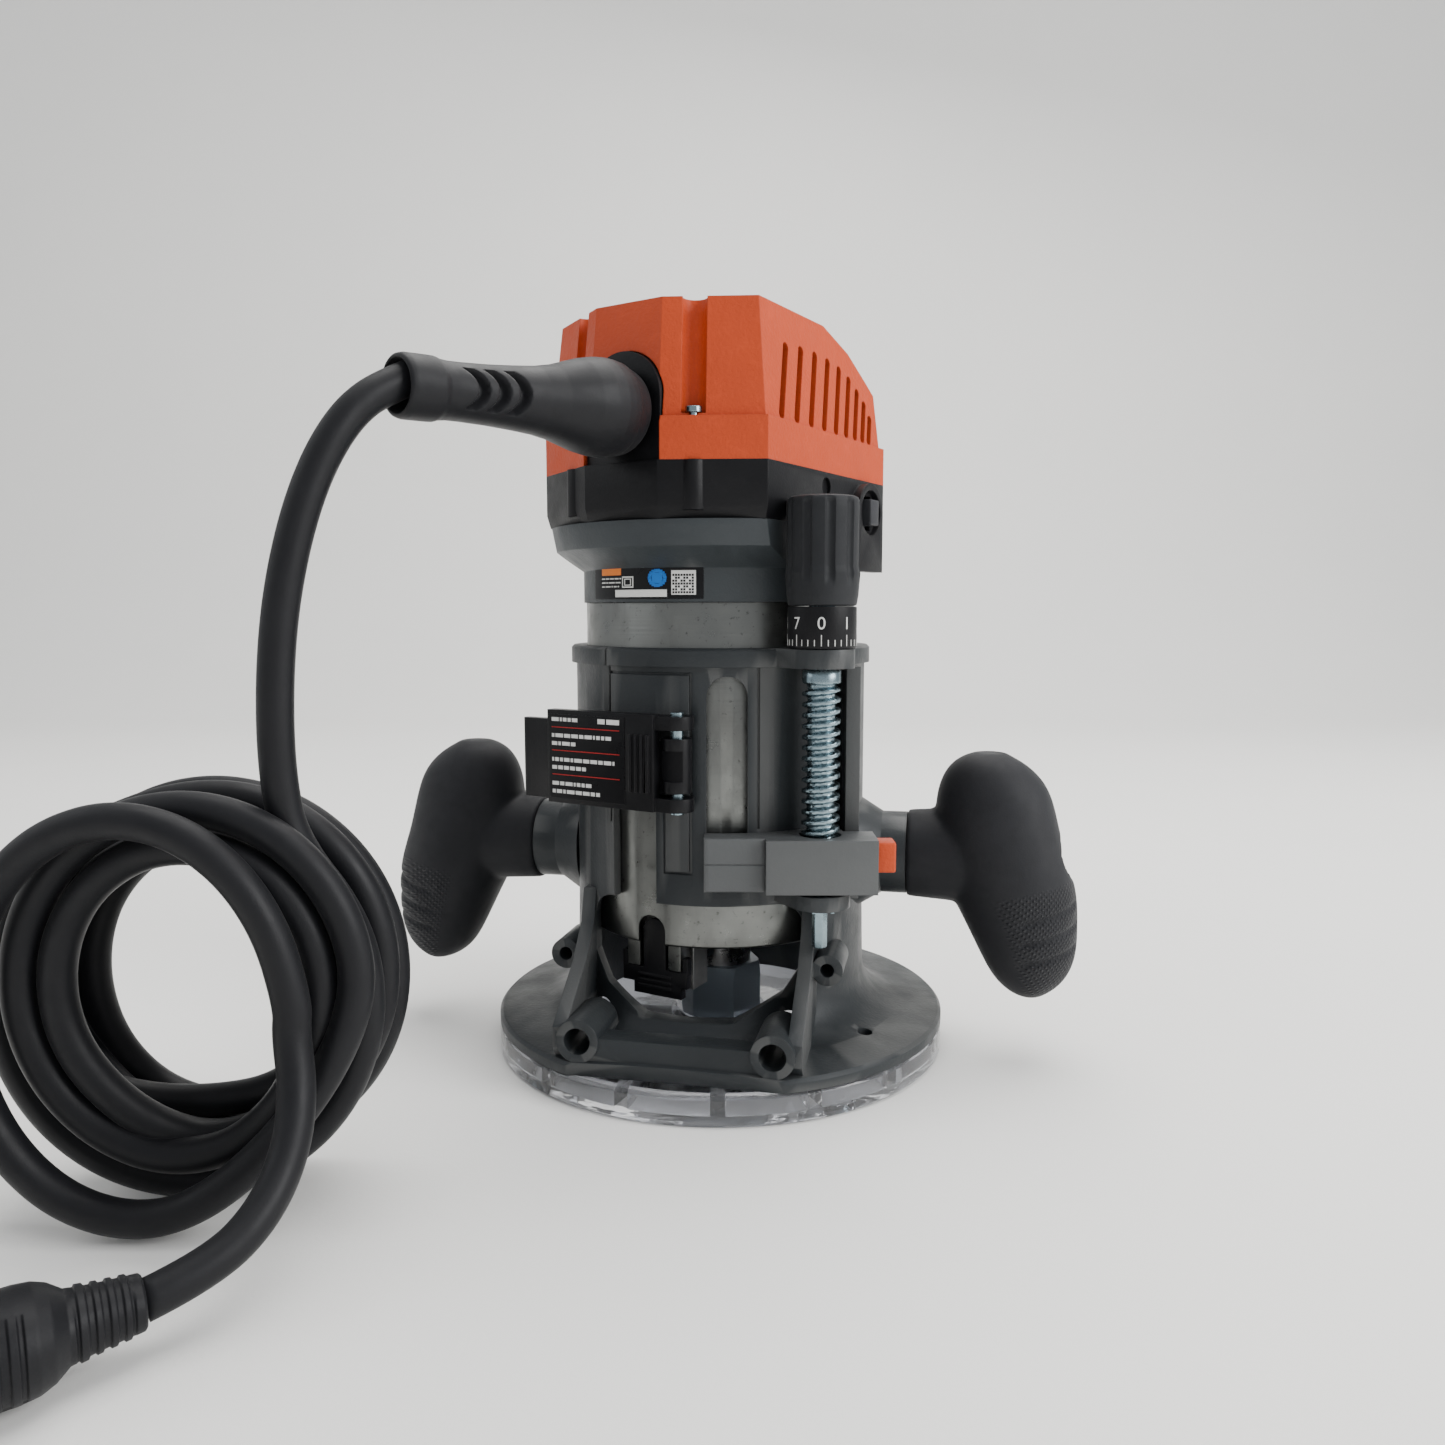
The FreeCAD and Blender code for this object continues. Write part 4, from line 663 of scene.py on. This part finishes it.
def make_bracket_face():
    """Skin of the bracket's left block with its parting line, over the screw heads."""
    turn, front, low, high = BRACKET_TURN, 56.0, 63.1, 78.9
    vertices, faces = [], []
    corner = 0.8
    heights = [low, low + corner * 0.3, low + corner, 71.0, 71.25, 71.5, high - corner,
               high - corner * 0.3, high]
    sinks = [0.35, 0.08, 0.0, 0.0, 0.28, 0.0, 0.0, 0.08, 0.35]
    left, right = -4.9, 12.9
    acrosses = np.linspace(left, right, 24)
    for height, sink in zip(heights, sinks):
        for across in acrosses:
            side = max(0.0, (left + 1.0) - across) + max(0.0, across - 11.9)
            vertices.append(turned_point(turn, across, front + 0.45 - sink - 0.35 * side ** 2, height))
    count = len(acrosses)
    for i in range(len(heights) - 1):
        for k in range(count - 1):
            a = i * count + k
            faces.append((a, a + 1, a + count + 1, a + count))
    back = [turned_point(turn, a, front - 0.3, h) for a, h in (
        (left, low), (right, low), (right, high), (left, high))]
    start = len(vertices)
    vertices += back
    rim_low = list(range(count))
    rim_high = [(len(heights) - 1) * count + k for k in range(count)]
    rim_left = [i * count for i in range(len(heights))]
    rim_right = [i * count + count - 1 for i in range(len(heights))]
    faces.append((start, start + 1, *reversed(rim_low)))
    faces.append((start + 2, start + 3, *rim_high))
    faces.append((start + 3, start, *rim_left))
    faces.append((start + 1, start + 2, *reversed(rim_right)))
    faces.append((start, start + 3, start + 2, start + 1))
    # The lighter bracket paint on this face is painted light.
    piece_from("bracket_face", vertices, faces, "motor", "grey_casting", BRACKET_PAINTED_LIGHT, (), 35.0)


def wrapped(name, flat, radius, centre, azimuth, height, body, slot_name, finish):
    """Wrap a flat mesh, drawn in X and Y, round an upright cylinder."""
    for v in flat.vertices:
        angle = azimuth + v.co.x / radius
        reach = radius + v.co.z
        v.co = (centre[0] + reach * sin(angle), centre[1] - reach * cos(angle), height + v.co.y)
    flat.update()
    return settle(name, flat, body, slot_name, finish, (), None)


def digits_mesh(text, tall, thick=0.00006):
    """Flat raised figures, centred on their place."""
    data = bpy.data.curves.new("figures", "FONT")
    data.body = text
    data.size = tall
    data.align_x = "CENTER"
    data.extrude = thick
    holder = bpy.data.objects.new("figures", data)
    bpy.context.scene.collection.objects.link(holder)
    bpy.context.view_layer.update()
    mesh = bpy.data.meshes.new_from_object(holder)
    bpy.data.objects.remove(holder)
    return mesh


# Bars are cut to pieces of this length, so that they can be wrapped round a cylinder.
BAR_STEP = 0.0008


def bar_mesh(places, thick=0.00008):
    """Flat bars, each (low x, high x, low y, high y), joined in one mesh and cut fine along X."""
    vertices, faces = [], []
    for x0, x1, y0, y1 in places:
        steps = max(1, int((x1 - x0) / BAR_STEP))
        start = len(vertices)
        for i in range(steps + 1):
            x = x0 + (x1 - x0) * i / steps
            vertices += [(x, y0, -thick), (x, y1, -thick), (x, y1, thick), (x, y0, thick)]
        for i in range(steps):
            a = start + 4 * i
            for k in range(4):
                faces.append((a + k, a + (k + 1) % 4, a + 4 + (k + 1) % 4, a + 4 + k))
        faces.append((start + 3, start + 2, start + 1, start))
        end = start + 4 * steps
        faces.append((end, end + 1, end + 2, end + 3))
    mesh = bpy.data.meshes.new("bars")
    mesh.from_pydata(vertices, [], faces)
    return mesh


TICKS, TICKS_PER_FIGURE = 32, 4
TICK_HALF_WIDTH = 0.00013


def make_dial_marks():
    """White ticks and plain figures round the black dial ring."""
    low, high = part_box("depth_ring")
    radius, bottom = (high.x - low.x) / 2, low.z
    step = 2 * pi * radius / TICKS
    ticks = [((i + 0.5) * step - TICK_HALF_WIDTH, (i + 0.5) * step + TICK_HALF_WIDTH, 0.0008,
              0.0040 if i % TICKS_PER_FIGURE == 0 else 0.0026) for i in range(TICKS)]
    wrapped("dial_ticks", bar_mesh(ticks), radius, SCREW, 0.0, bottom, "depth_scale", "black_plastic",
            INK_WHITE)
    for i in range(TICKS // TICKS_PER_FIGURE):
        azimuth = (TICKS_PER_FIGURE * i + 0.5) * step / radius
        wrapped(f"dial_figure_{i}", digits_mesh(str(i), 0.0050), radius, SCREW, azimuth, bottom + 0.0056,
                "depth_scale", "black_plastic", INK_WHITE)


def make_knob():
    """Tapered rubber knob with ten long scallops and a rounded top."""
    low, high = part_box("depth_knob")
    centre, radius = (low + high) / 2, (high.x - low.x) / 2
    tall = high.z - low.z
    profile = [(0.30, 0.0), (0.86, 0.0), (0.90, 0.012), (0.94, 0.10), (0.97, 0.24), (0.985, 0.30),
               (0.95, 0.36), (0.955, 0.62), (0.965, 0.90), (0.955, 0.955), (0.92, 0.985),
               (0.86, 0.998), (0.2, 1.0)]
    profile = [(r * radius, z * tall) for r, z in profile]

    def scalloped(r, z, angle):
        share = z / tall
        phase = abs(sin(5 * angle))
        depth = step_between(share, 0.16, 0.30) * (1 - step_between(share, 0.93, 0.99))
        return r - 0.085 * radius * float(depth) * max(0.0, 1 - (phase / 0.62) ** 2) ** 0.6

    place = Matrix.Translation((centre.x, centre.y, low.z))
    vertices, faces = lathe(profile, 120, 180, place, scalloped)
    piece_from("knob_grip", vertices, faces, "depth_adjuster", "grip_rubber", KNOB_RUBBER,
               ["depth_knob"], 30.0)


make_bracket_face()
make_depth_screw()
make_star_washer()
make_dial_marks()


# ------------------------------------------------------------------- labels


def bars_of_text(rows, left, right, top, pitch, thick):
    """Blank print: each row is a run of short bars between two edges."""
    places = []
    for i, (filled, seed) in enumerate(rows):
        x, y = left, top - i * pitch
        end = left + (right - left) * filled
        k = seed
        while x < end - 0.0006:
            k = (k * 7 + 3) % 11
            long = 0.0007 + 0.00022 * k
            places.append((x, min(x + long, end), y - thick, y))
            x += long + 0.00045
    return places


def make_collar_label():
    """Black label round the collar with blank print: bars, plain symbols and a dotted patch."""
    radius = (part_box("motor_barrel")[1].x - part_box("motor_barrel")[0].x) / 2 + 0.00092
    middle, height = radians(-21.2), 0.1484
    half, tall = radians(26.8) * radius, 0.0128

    def add(name, places, finish, lift=0.0):
        wrapped("label_" + name, bar_mesh(places), radius + lift, (0, 0), middle, height, "motor",
                "black_plastic", finish)

    add("plate", [(-half, half, 0.0, tall)], LABEL_BLACK)
    rise = 0.00005
    add("bar", [(-half + 0.0048, -half + 0.0145, 0.0072, 0.0098)], INK_ORANGE, rise)
    add("patch", [(half - 0.0098, half - 0.0022, 0.0012, 0.0084),
                  (-half + 0.0118, half - 0.0112, 0.0006, 0.0028)], INK_WHITE, rise)
    square = [(x - w, x + w, y - h, y + h) for x, y, w, h in (
        (-0.0040, 0.0066, 0.0021, 0.0002), (-0.0040, 0.0030 + 0.0006, 0.0021, 0.0002),
        (-0.0061, 0.0051, 0.0002, 0.0017), (-0.0019, 0.0051, 0.0002, 0.0017),
        (-0.0040, 0.0060, 0.0012, 0.00015), (-0.0040, 0.0042, 0.0012, 0.00015),
        (-0.0052, 0.0051, 0.00015, 0.0010), (-0.0028, 0.0051, 0.00015, 0.0010))]
    add("symbol", square, INK_WHITE, rise)
    dots = [(0.0068 + 0.0026 * cos(a) - 0.00055, 0.0068 + 0.0026 * cos(a) + 0.00055,
             0.0062 + 0.0022 * sin(a) - 0.0005, 0.0062 + 0.0022 * sin(a) + 0.0005)
            for a in np.linspace(0, 2 * pi, 18, endpoint=False)]
    add("round", dots + [(0.0068 - 0.0018, 0.0068 + 0.0018, 0.0046, 0.0078)], INK_BLUE, rise)
    rows = [(0.95, 3), (0.0, 1)]
    add("print_top", bars_of_text(rows, -half + 0.0012, half - 0.0012, tall - 0.0008, 0.0016, 0.0005),
        INK_WHITE, rise)
    add("print_left", bars_of_text([(1.0, 5), (1.0, 2), (0.9, 8)], -half + 0.0048, -half + 0.0145, 0.0064,
                                   0.0012, 0.0004), INK_WHITE, rise)
    patch_dots = [(half - 0.0094 + 0.00085 * i, half - 0.0094 + 0.00085 * i + 0.00062,
                   0.0016 + 0.00085 * j, 0.0016 + 0.00085 * j + 0.00062)
                  for i in range(8) for j in range(7) if (i * 3 + j * 5 + i * j) % 3 != 1]
    add("data", patch_dots, LABEL_BLACK, 2 * rise)


def flat_piece(name, places, transform, body, slot_name, finish, thick=0.00008):
    """Bars on a flat face: X runs across the face and Y up it."""
    mesh = bar_mesh(places, thick)
    mesh.transform(transform @ Matrix.Rotation(pi / 2, 4, "X"))
    return settle(name, mesh, body, slot_name, finish, (), None)


# The lower left corner of the lever's panel, across, outwards and up, and how far its print stands out.
PANEL_CORNER = (-28.0, 57.56, 86.5)
PRINT_RISE = 0.12


def make_lever_label():
    """Glossy black panel with blank white print and thin red lines."""
    face = turned_matrix(LEVER_TURN, *PANEL_CORNER)
    panel = [(0.0006, 0.0286, 0.0014, 0.0272)]
    flat_piece("lever_panel", panel, face, "lever", "black_plastic", LABEL_BLACK)
    lines = turned_matrix(LEVER_TURN, PANEL_CORNER[0], PANEL_CORNER[1] + PRINT_RISE, PANEL_CORNER[2])
    rows = [(0.42, 4), (0.0, 1), (0.88, 6), (0.35, 2), (0.0, 1), (0.95, 9), (0.5, 5), (0.0, 1),
            (0.6, 7), (0.7, 3)]
    print_bars = bars_of_text(rows, 0.0018, 0.0272, 0.0262, 0.00245, 0.00115)
    print_bars += [(0.0190, 0.0216, 0.0249, 0.0264), (0.0222, 0.0268, 0.0249, 0.0264)]
    flat_piece("lever_print", print_bars, lines, "lever", "black_plastic", INK_WHITE, 0.00004)
    rules = [(0.0018, 0.0268, y, y + 0.00028) for y in (0.0231, 0.0160, 0.0086)]
    flat_piece("lever_rules", rules, lines, "lever", "black_plastic", INK_RED, 0.00004)


make_collar_label()
make_lever_label()


# ------------------------------------------------------------ boot and plug


def lathe(profile, steps, sides, place, shape=None):
    """Skin turned about +Z from (radius, height) corners; shape may change a point's radius."""
    radii, heights = np.array(profile).T
    run = np.concatenate([[0], np.cumsum(np.hypot(np.diff(radii), np.diff(heights)))])
    vertices, faces = [], []
    for along in np.linspace(0, run[-1], steps):
        r, z = float(np.interp(along, run, radii)), float(np.interp(along, run, heights))
        for k in range(sides):
            a = 2 * pi * k / sides
            reach = r if shape is None else shape(r, z, a)
            vertices.append(place @ Vector((reach * cos(a), reach * sin(a), z)))
    for i in range(steps - 1):
        for k in range(sides):
            a, b = i * sides + k, i * sides + (k + 1) % sides
            faces.append((a, b, b + sides, a + sides))
    faces.append(tuple(reversed(range(sides))))
    faces.append(tuple(range((steps - 1) * sides, steps * sides)))
    return vertices, faces


def in_millimetres(profile):
    return [(r * MM, z * MM) for r, z in profile]


# The boot's crescent slots: how deep they are, the radius they stop at and the height they end by.
SLOT_DEPTH, SLOT_MOUTH, SLOTS_END = 2.6 * MM, 6.9 * MM, 0.0515


def make_strain_relief():
    """Ball-ended rubber boot with crescent slots and an open mouth round the cord, and its collar."""
    ball = turned_point(HEAD_TURN, 0, 64.0, 201.5)
    place = Matrix.Translation(ball) @ Matrix.Rotation(radians(-32.0), 4, "Z") @ Matrix.Rotation(
        radians(92.5), 4, "X")
    profile = [(11.5, -6.2), (13.0, -4.2), (13.4, -2.0), (13.6, 0.5), (13.35, 4.0), (12.5, 8.5),
               (11.2, 13.0), (9.9, 17.5), (8.9, 23.0), (8.2, 30.0), (7.6, 38.0), (7.25, 46.0),
               (7.2, 50.0), (7.45, 52.6), (7.9, 54.0), (7.95, 56.0), (7.9, 61.8), (7.55, 63.0),
               (7.0, 63.5), (6.6, 63.4), (6.0, 60.0), (4.9, 55.0)]
    collar = [(8.9, 48.6), (8.9, 55.1), (9.4, 55.5), (11.7, 55.6), (12.3, 56.3), (12.9, 59.5), (13.2, 62.5),
              (12.6, 65.0)]
    straight = Matrix.Translation(turned_point(HEAD_TURN, 0, 0, 201.5)) @ Matrix.Rotation(
        radians(HEAD_TURN), 4, "Z") @ Matrix.Rotation(pi / 2, 4, "X")

    def slotted(r, z, angle):
        side_angle = (angle + pi / 2) % pi - pi / 2
        across = abs(side_angle)
        cut = 0.0
        for start in (31.0, 37.0, 43.0):
            centre = (start + 3.2 * (across / 0.75) ** 2) * MM
            cut = max(cut, np.exp(-((z - centre) / (1.25 * MM)) ** 4) * float(across < 0.75))
        return r - SLOT_DEPTH * cut if r > SLOT_MOUTH and z < SLOTS_END else r

    vertices, faces = lathe(in_millimetres(profile), 190, 128, place, slotted)
    more, ring_faces = lathe(in_millimetres(collar), 30, 96, straight)
    faces += [tuple(i + len(vertices) for i in face) for face in ring_faces]
    piece_from("cord_boot", vertices + more, faces, "motor", "cord_rubber", None, ["strain_relief"], 40.0)


def make_plug():
    """Moulded plug with grip ridges down its sides."""
    ahead = (in_row(PLUG_END) - in_row(TAIL[-1])).normalized()
    place = Matrix.Translation(in_row(TAIL[-1])) @ ahead.to_track_quat("Z", "Y").to_matrix().to_4x4()
    profile = [(5.2, 0.0), (5.7, 0.4), (6.0, 3.0), (6.5, 8.0), (7.3, 13.0), (9.4, 15.5), (10.5, 18.0),
               (10.9, 21.0), (10.9, 36.5), (10.5, 38.8), (9.6, 39.95), (6.0, 40.0)]

    def ridged(r, z, angle):
        flat = 1.0 - 0.10 * abs(sin(angle)) ** 3
        if 0.002 < z < 0.012:
            return r * (1 - 0.07 * (1 if int(z / MM / 1.25) % 2 else 0))
        if 0.020 < z < 0.035 and abs(cos(angle)) > 0.6:
            return r * flat - 0.5 * MM * (1 if int(z / MM / 1.5) % 2 else 0)
        return r * flat

    vertices, faces = lathe(in_millimetres(profile), 150, 64, place, ridged)
    piece_from("plug_body", vertices, faces, "base", "cord_rubber", None, ["plug"], 40.0)


make_knob()
make_strain_relief()
make_plug()


# ------------------------------------------------------------------ springs

# Each spring: its frame's turn, its two ends across, outwards and up, its outer radius, its wire's radius,
# its turns, and the joint that squeezes it towards its first end with the share of its length left.
SPRINGS = {
    "brush_spring_right": (90.0, (0, 28.1, 146), (0, 39.4, 146), 3.0, 0.3, 7, None, 1),
    "brush_spring_left": (-90.0, (0, 28.1, 146), (0, 39.4, 146), 3.0, 0.3, 7, None, 1),
    "release_spring": (BRACKET_TURN, (15.6, 50, 73), (20.4, 50, 73), 2.4, 0.3, 5, "release_press", 0.36),
    "lock_spring": (LOCK_TURN, (7.4, 34.9, 29.6), (7.4, 39.7, 29.6), 1.6, 0.2, 6, "lock_press", 0.11),
}


def close_ends(share):
    """A share of the way whose rise is slower near both ends, from 0 to 1."""
    low, high = (float(step_between(at, -0.15, 1.15)) for at in (0, 1))
    return (float(step_between(share, -0.15, 1.15)) - low) / (high - low)


def make_spring(node, turn, start, end, radius, wire, turns, joint, keep):
    """A helix of wire, closer at its ends, in the place of a spring's plain sleeve."""
    first, last = turned_point(turn, *start), turned_point(turn, *end)
    axis = (last - first).normalized()
    side = axis.orthogonal().normalized()
    other = axis.cross(side)
    inset, reach = wire * MM, (radius - wire) * MM
    run = (last - first).length - 2 * inset
    steps = turns * 20
    line = []
    for i in range(steps + 1):
        share = i / steps
        angle = 2 * pi * turns * share
        along = inset + run * close_ends(share)
        line.append(first + axis * along + side * (reach * cos(angle)) + other * (reach * sin(angle)))
    mesh = tube_mesh(node + "_coil", line, wire * MM, 8)
    thing = settle(node + "_coil", mesh, NODES[node]["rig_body"], SLOTS[node], None, [node], 60.0)
    if joint:
        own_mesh(thing)


# ------------------------------------------------------------------- camera

# The solved camera: its place in metres, its tilt down and its turn, and its focal length in pixels.
PHOTO_WIDTH = 1445
FOCAL_PIXELS = 1100
SENSOR_WIDTH = 36.0
CAMERA_PLACE = (0.0766, -0.3626, 0.1450)
CAMERA_TILT, CAMERA_TURN = 5.82, 11.83


def make_camera():
    camera = bpy.data.cameras.new("camera")
    camera.sensor_width = SENSOR_WIDTH
    camera.lens = SENSOR_WIDTH * FOCAL_PIXELS / PHOTO_WIDTH
    camera.clip_start = 0.01
    view = bpy.data.objects.new("camera", camera)
    view.location = CAMERA_PLACE
    view.rotation_euler = (radians(90 - CAMERA_TILT), 0, radians(CAMERA_TURN))
    bpy.context.scene.collection.objects.link(view)
    bpy.context.scene.camera = view


def make_stage():
    """Pale floor that curves up into a pale wall behind."""
    ramp = [(-1.6, 0.0), (1.0, 0.0)]
    ramp += [(1.0 + 0.5 * sin(a), 0.5 - 0.5 * cos(a)) for a in np.linspace(0.1, pi / 2, 12)]
    ramp.append((1.5, 2.4))
    half = 2.2
    vertices = [(x, y, z) for y, z in ramp for x in (-half, half)]
    faces = [(2 * i, 2 * i + 1, 2 * i + 3, 2 * i + 2) for i in range(len(ramp) - 1)]
    mesh = bpy.data.meshes.new("floor")
    mesh.from_pydata(vertices, [], faces)
    mesh.shade_smooth()
    floor = bpy.data.objects.new("floor", mesh)
    floor.rotation_euler = (0, 0, radians(CAMERA_TURN))
    bpy.context.scene.collection.objects.link(floor)
    pale = Finish("paper", (0.90, 0.89, 0.865), 0.8)
    pale.tint(pale.noise(0.2, 3.0), (0.85, 0.85, 0.825), 0.4, 0.8, 0.4)
    pale.bump(pale.noise(0.0016, 3.0), 0.0002, 0.35)
    dress(floor, pale)


def area_light(name, place, target, width, power, colour=(1, 1, 1)):
    data = bpy.data.lights.new(name, "AREA")
    data.shape = "SQUARE"
    data.size = width
    data.energy = power
    data.color = colour
    lamp = bpy.data.objects.new(name, data)
    lamp.location = place
    lamp.rotation_euler = (Vector(target) - Vector(place)).to_track_quat("-Z", "Y").to_euler()
    bpy.context.scene.collection.objects.link(lamp)


def make_light():
    world = bpy.data.worlds.new("studio")
    world.use_nodes = True
    world.node_tree.nodes["Background"].inputs["Color"].default_value = (0.95, 0.97, 1.0, 1)
    world.node_tree.nodes["Background"].inputs["Strength"].default_value = 0.66
    bpy.context.scene.world = world
    middle = (0, 0, 0.12)
    area_light("top_soft", (0.15, 0.35, 1.35), middle, 1.3, 25.0, (1.0, 0.99, 0.97))
    area_light("left_soft", (-1.2, -0.5, 0.85), middle, 0.9, 3.0, (0.97, 0.99, 1.0))
    area_light("right_soft", (1.3, -0.35, 0.75), middle, 0.8, 21.0)


make_camera()
make_stage()
make_light()
dress_cad()
for spring_node, spring in SPRINGS.items():
    make_spring(spring_node, *spring)
for soft_node, soft_width in SOFT_EDGES:
    softened(soft_node, soft_width * MM)
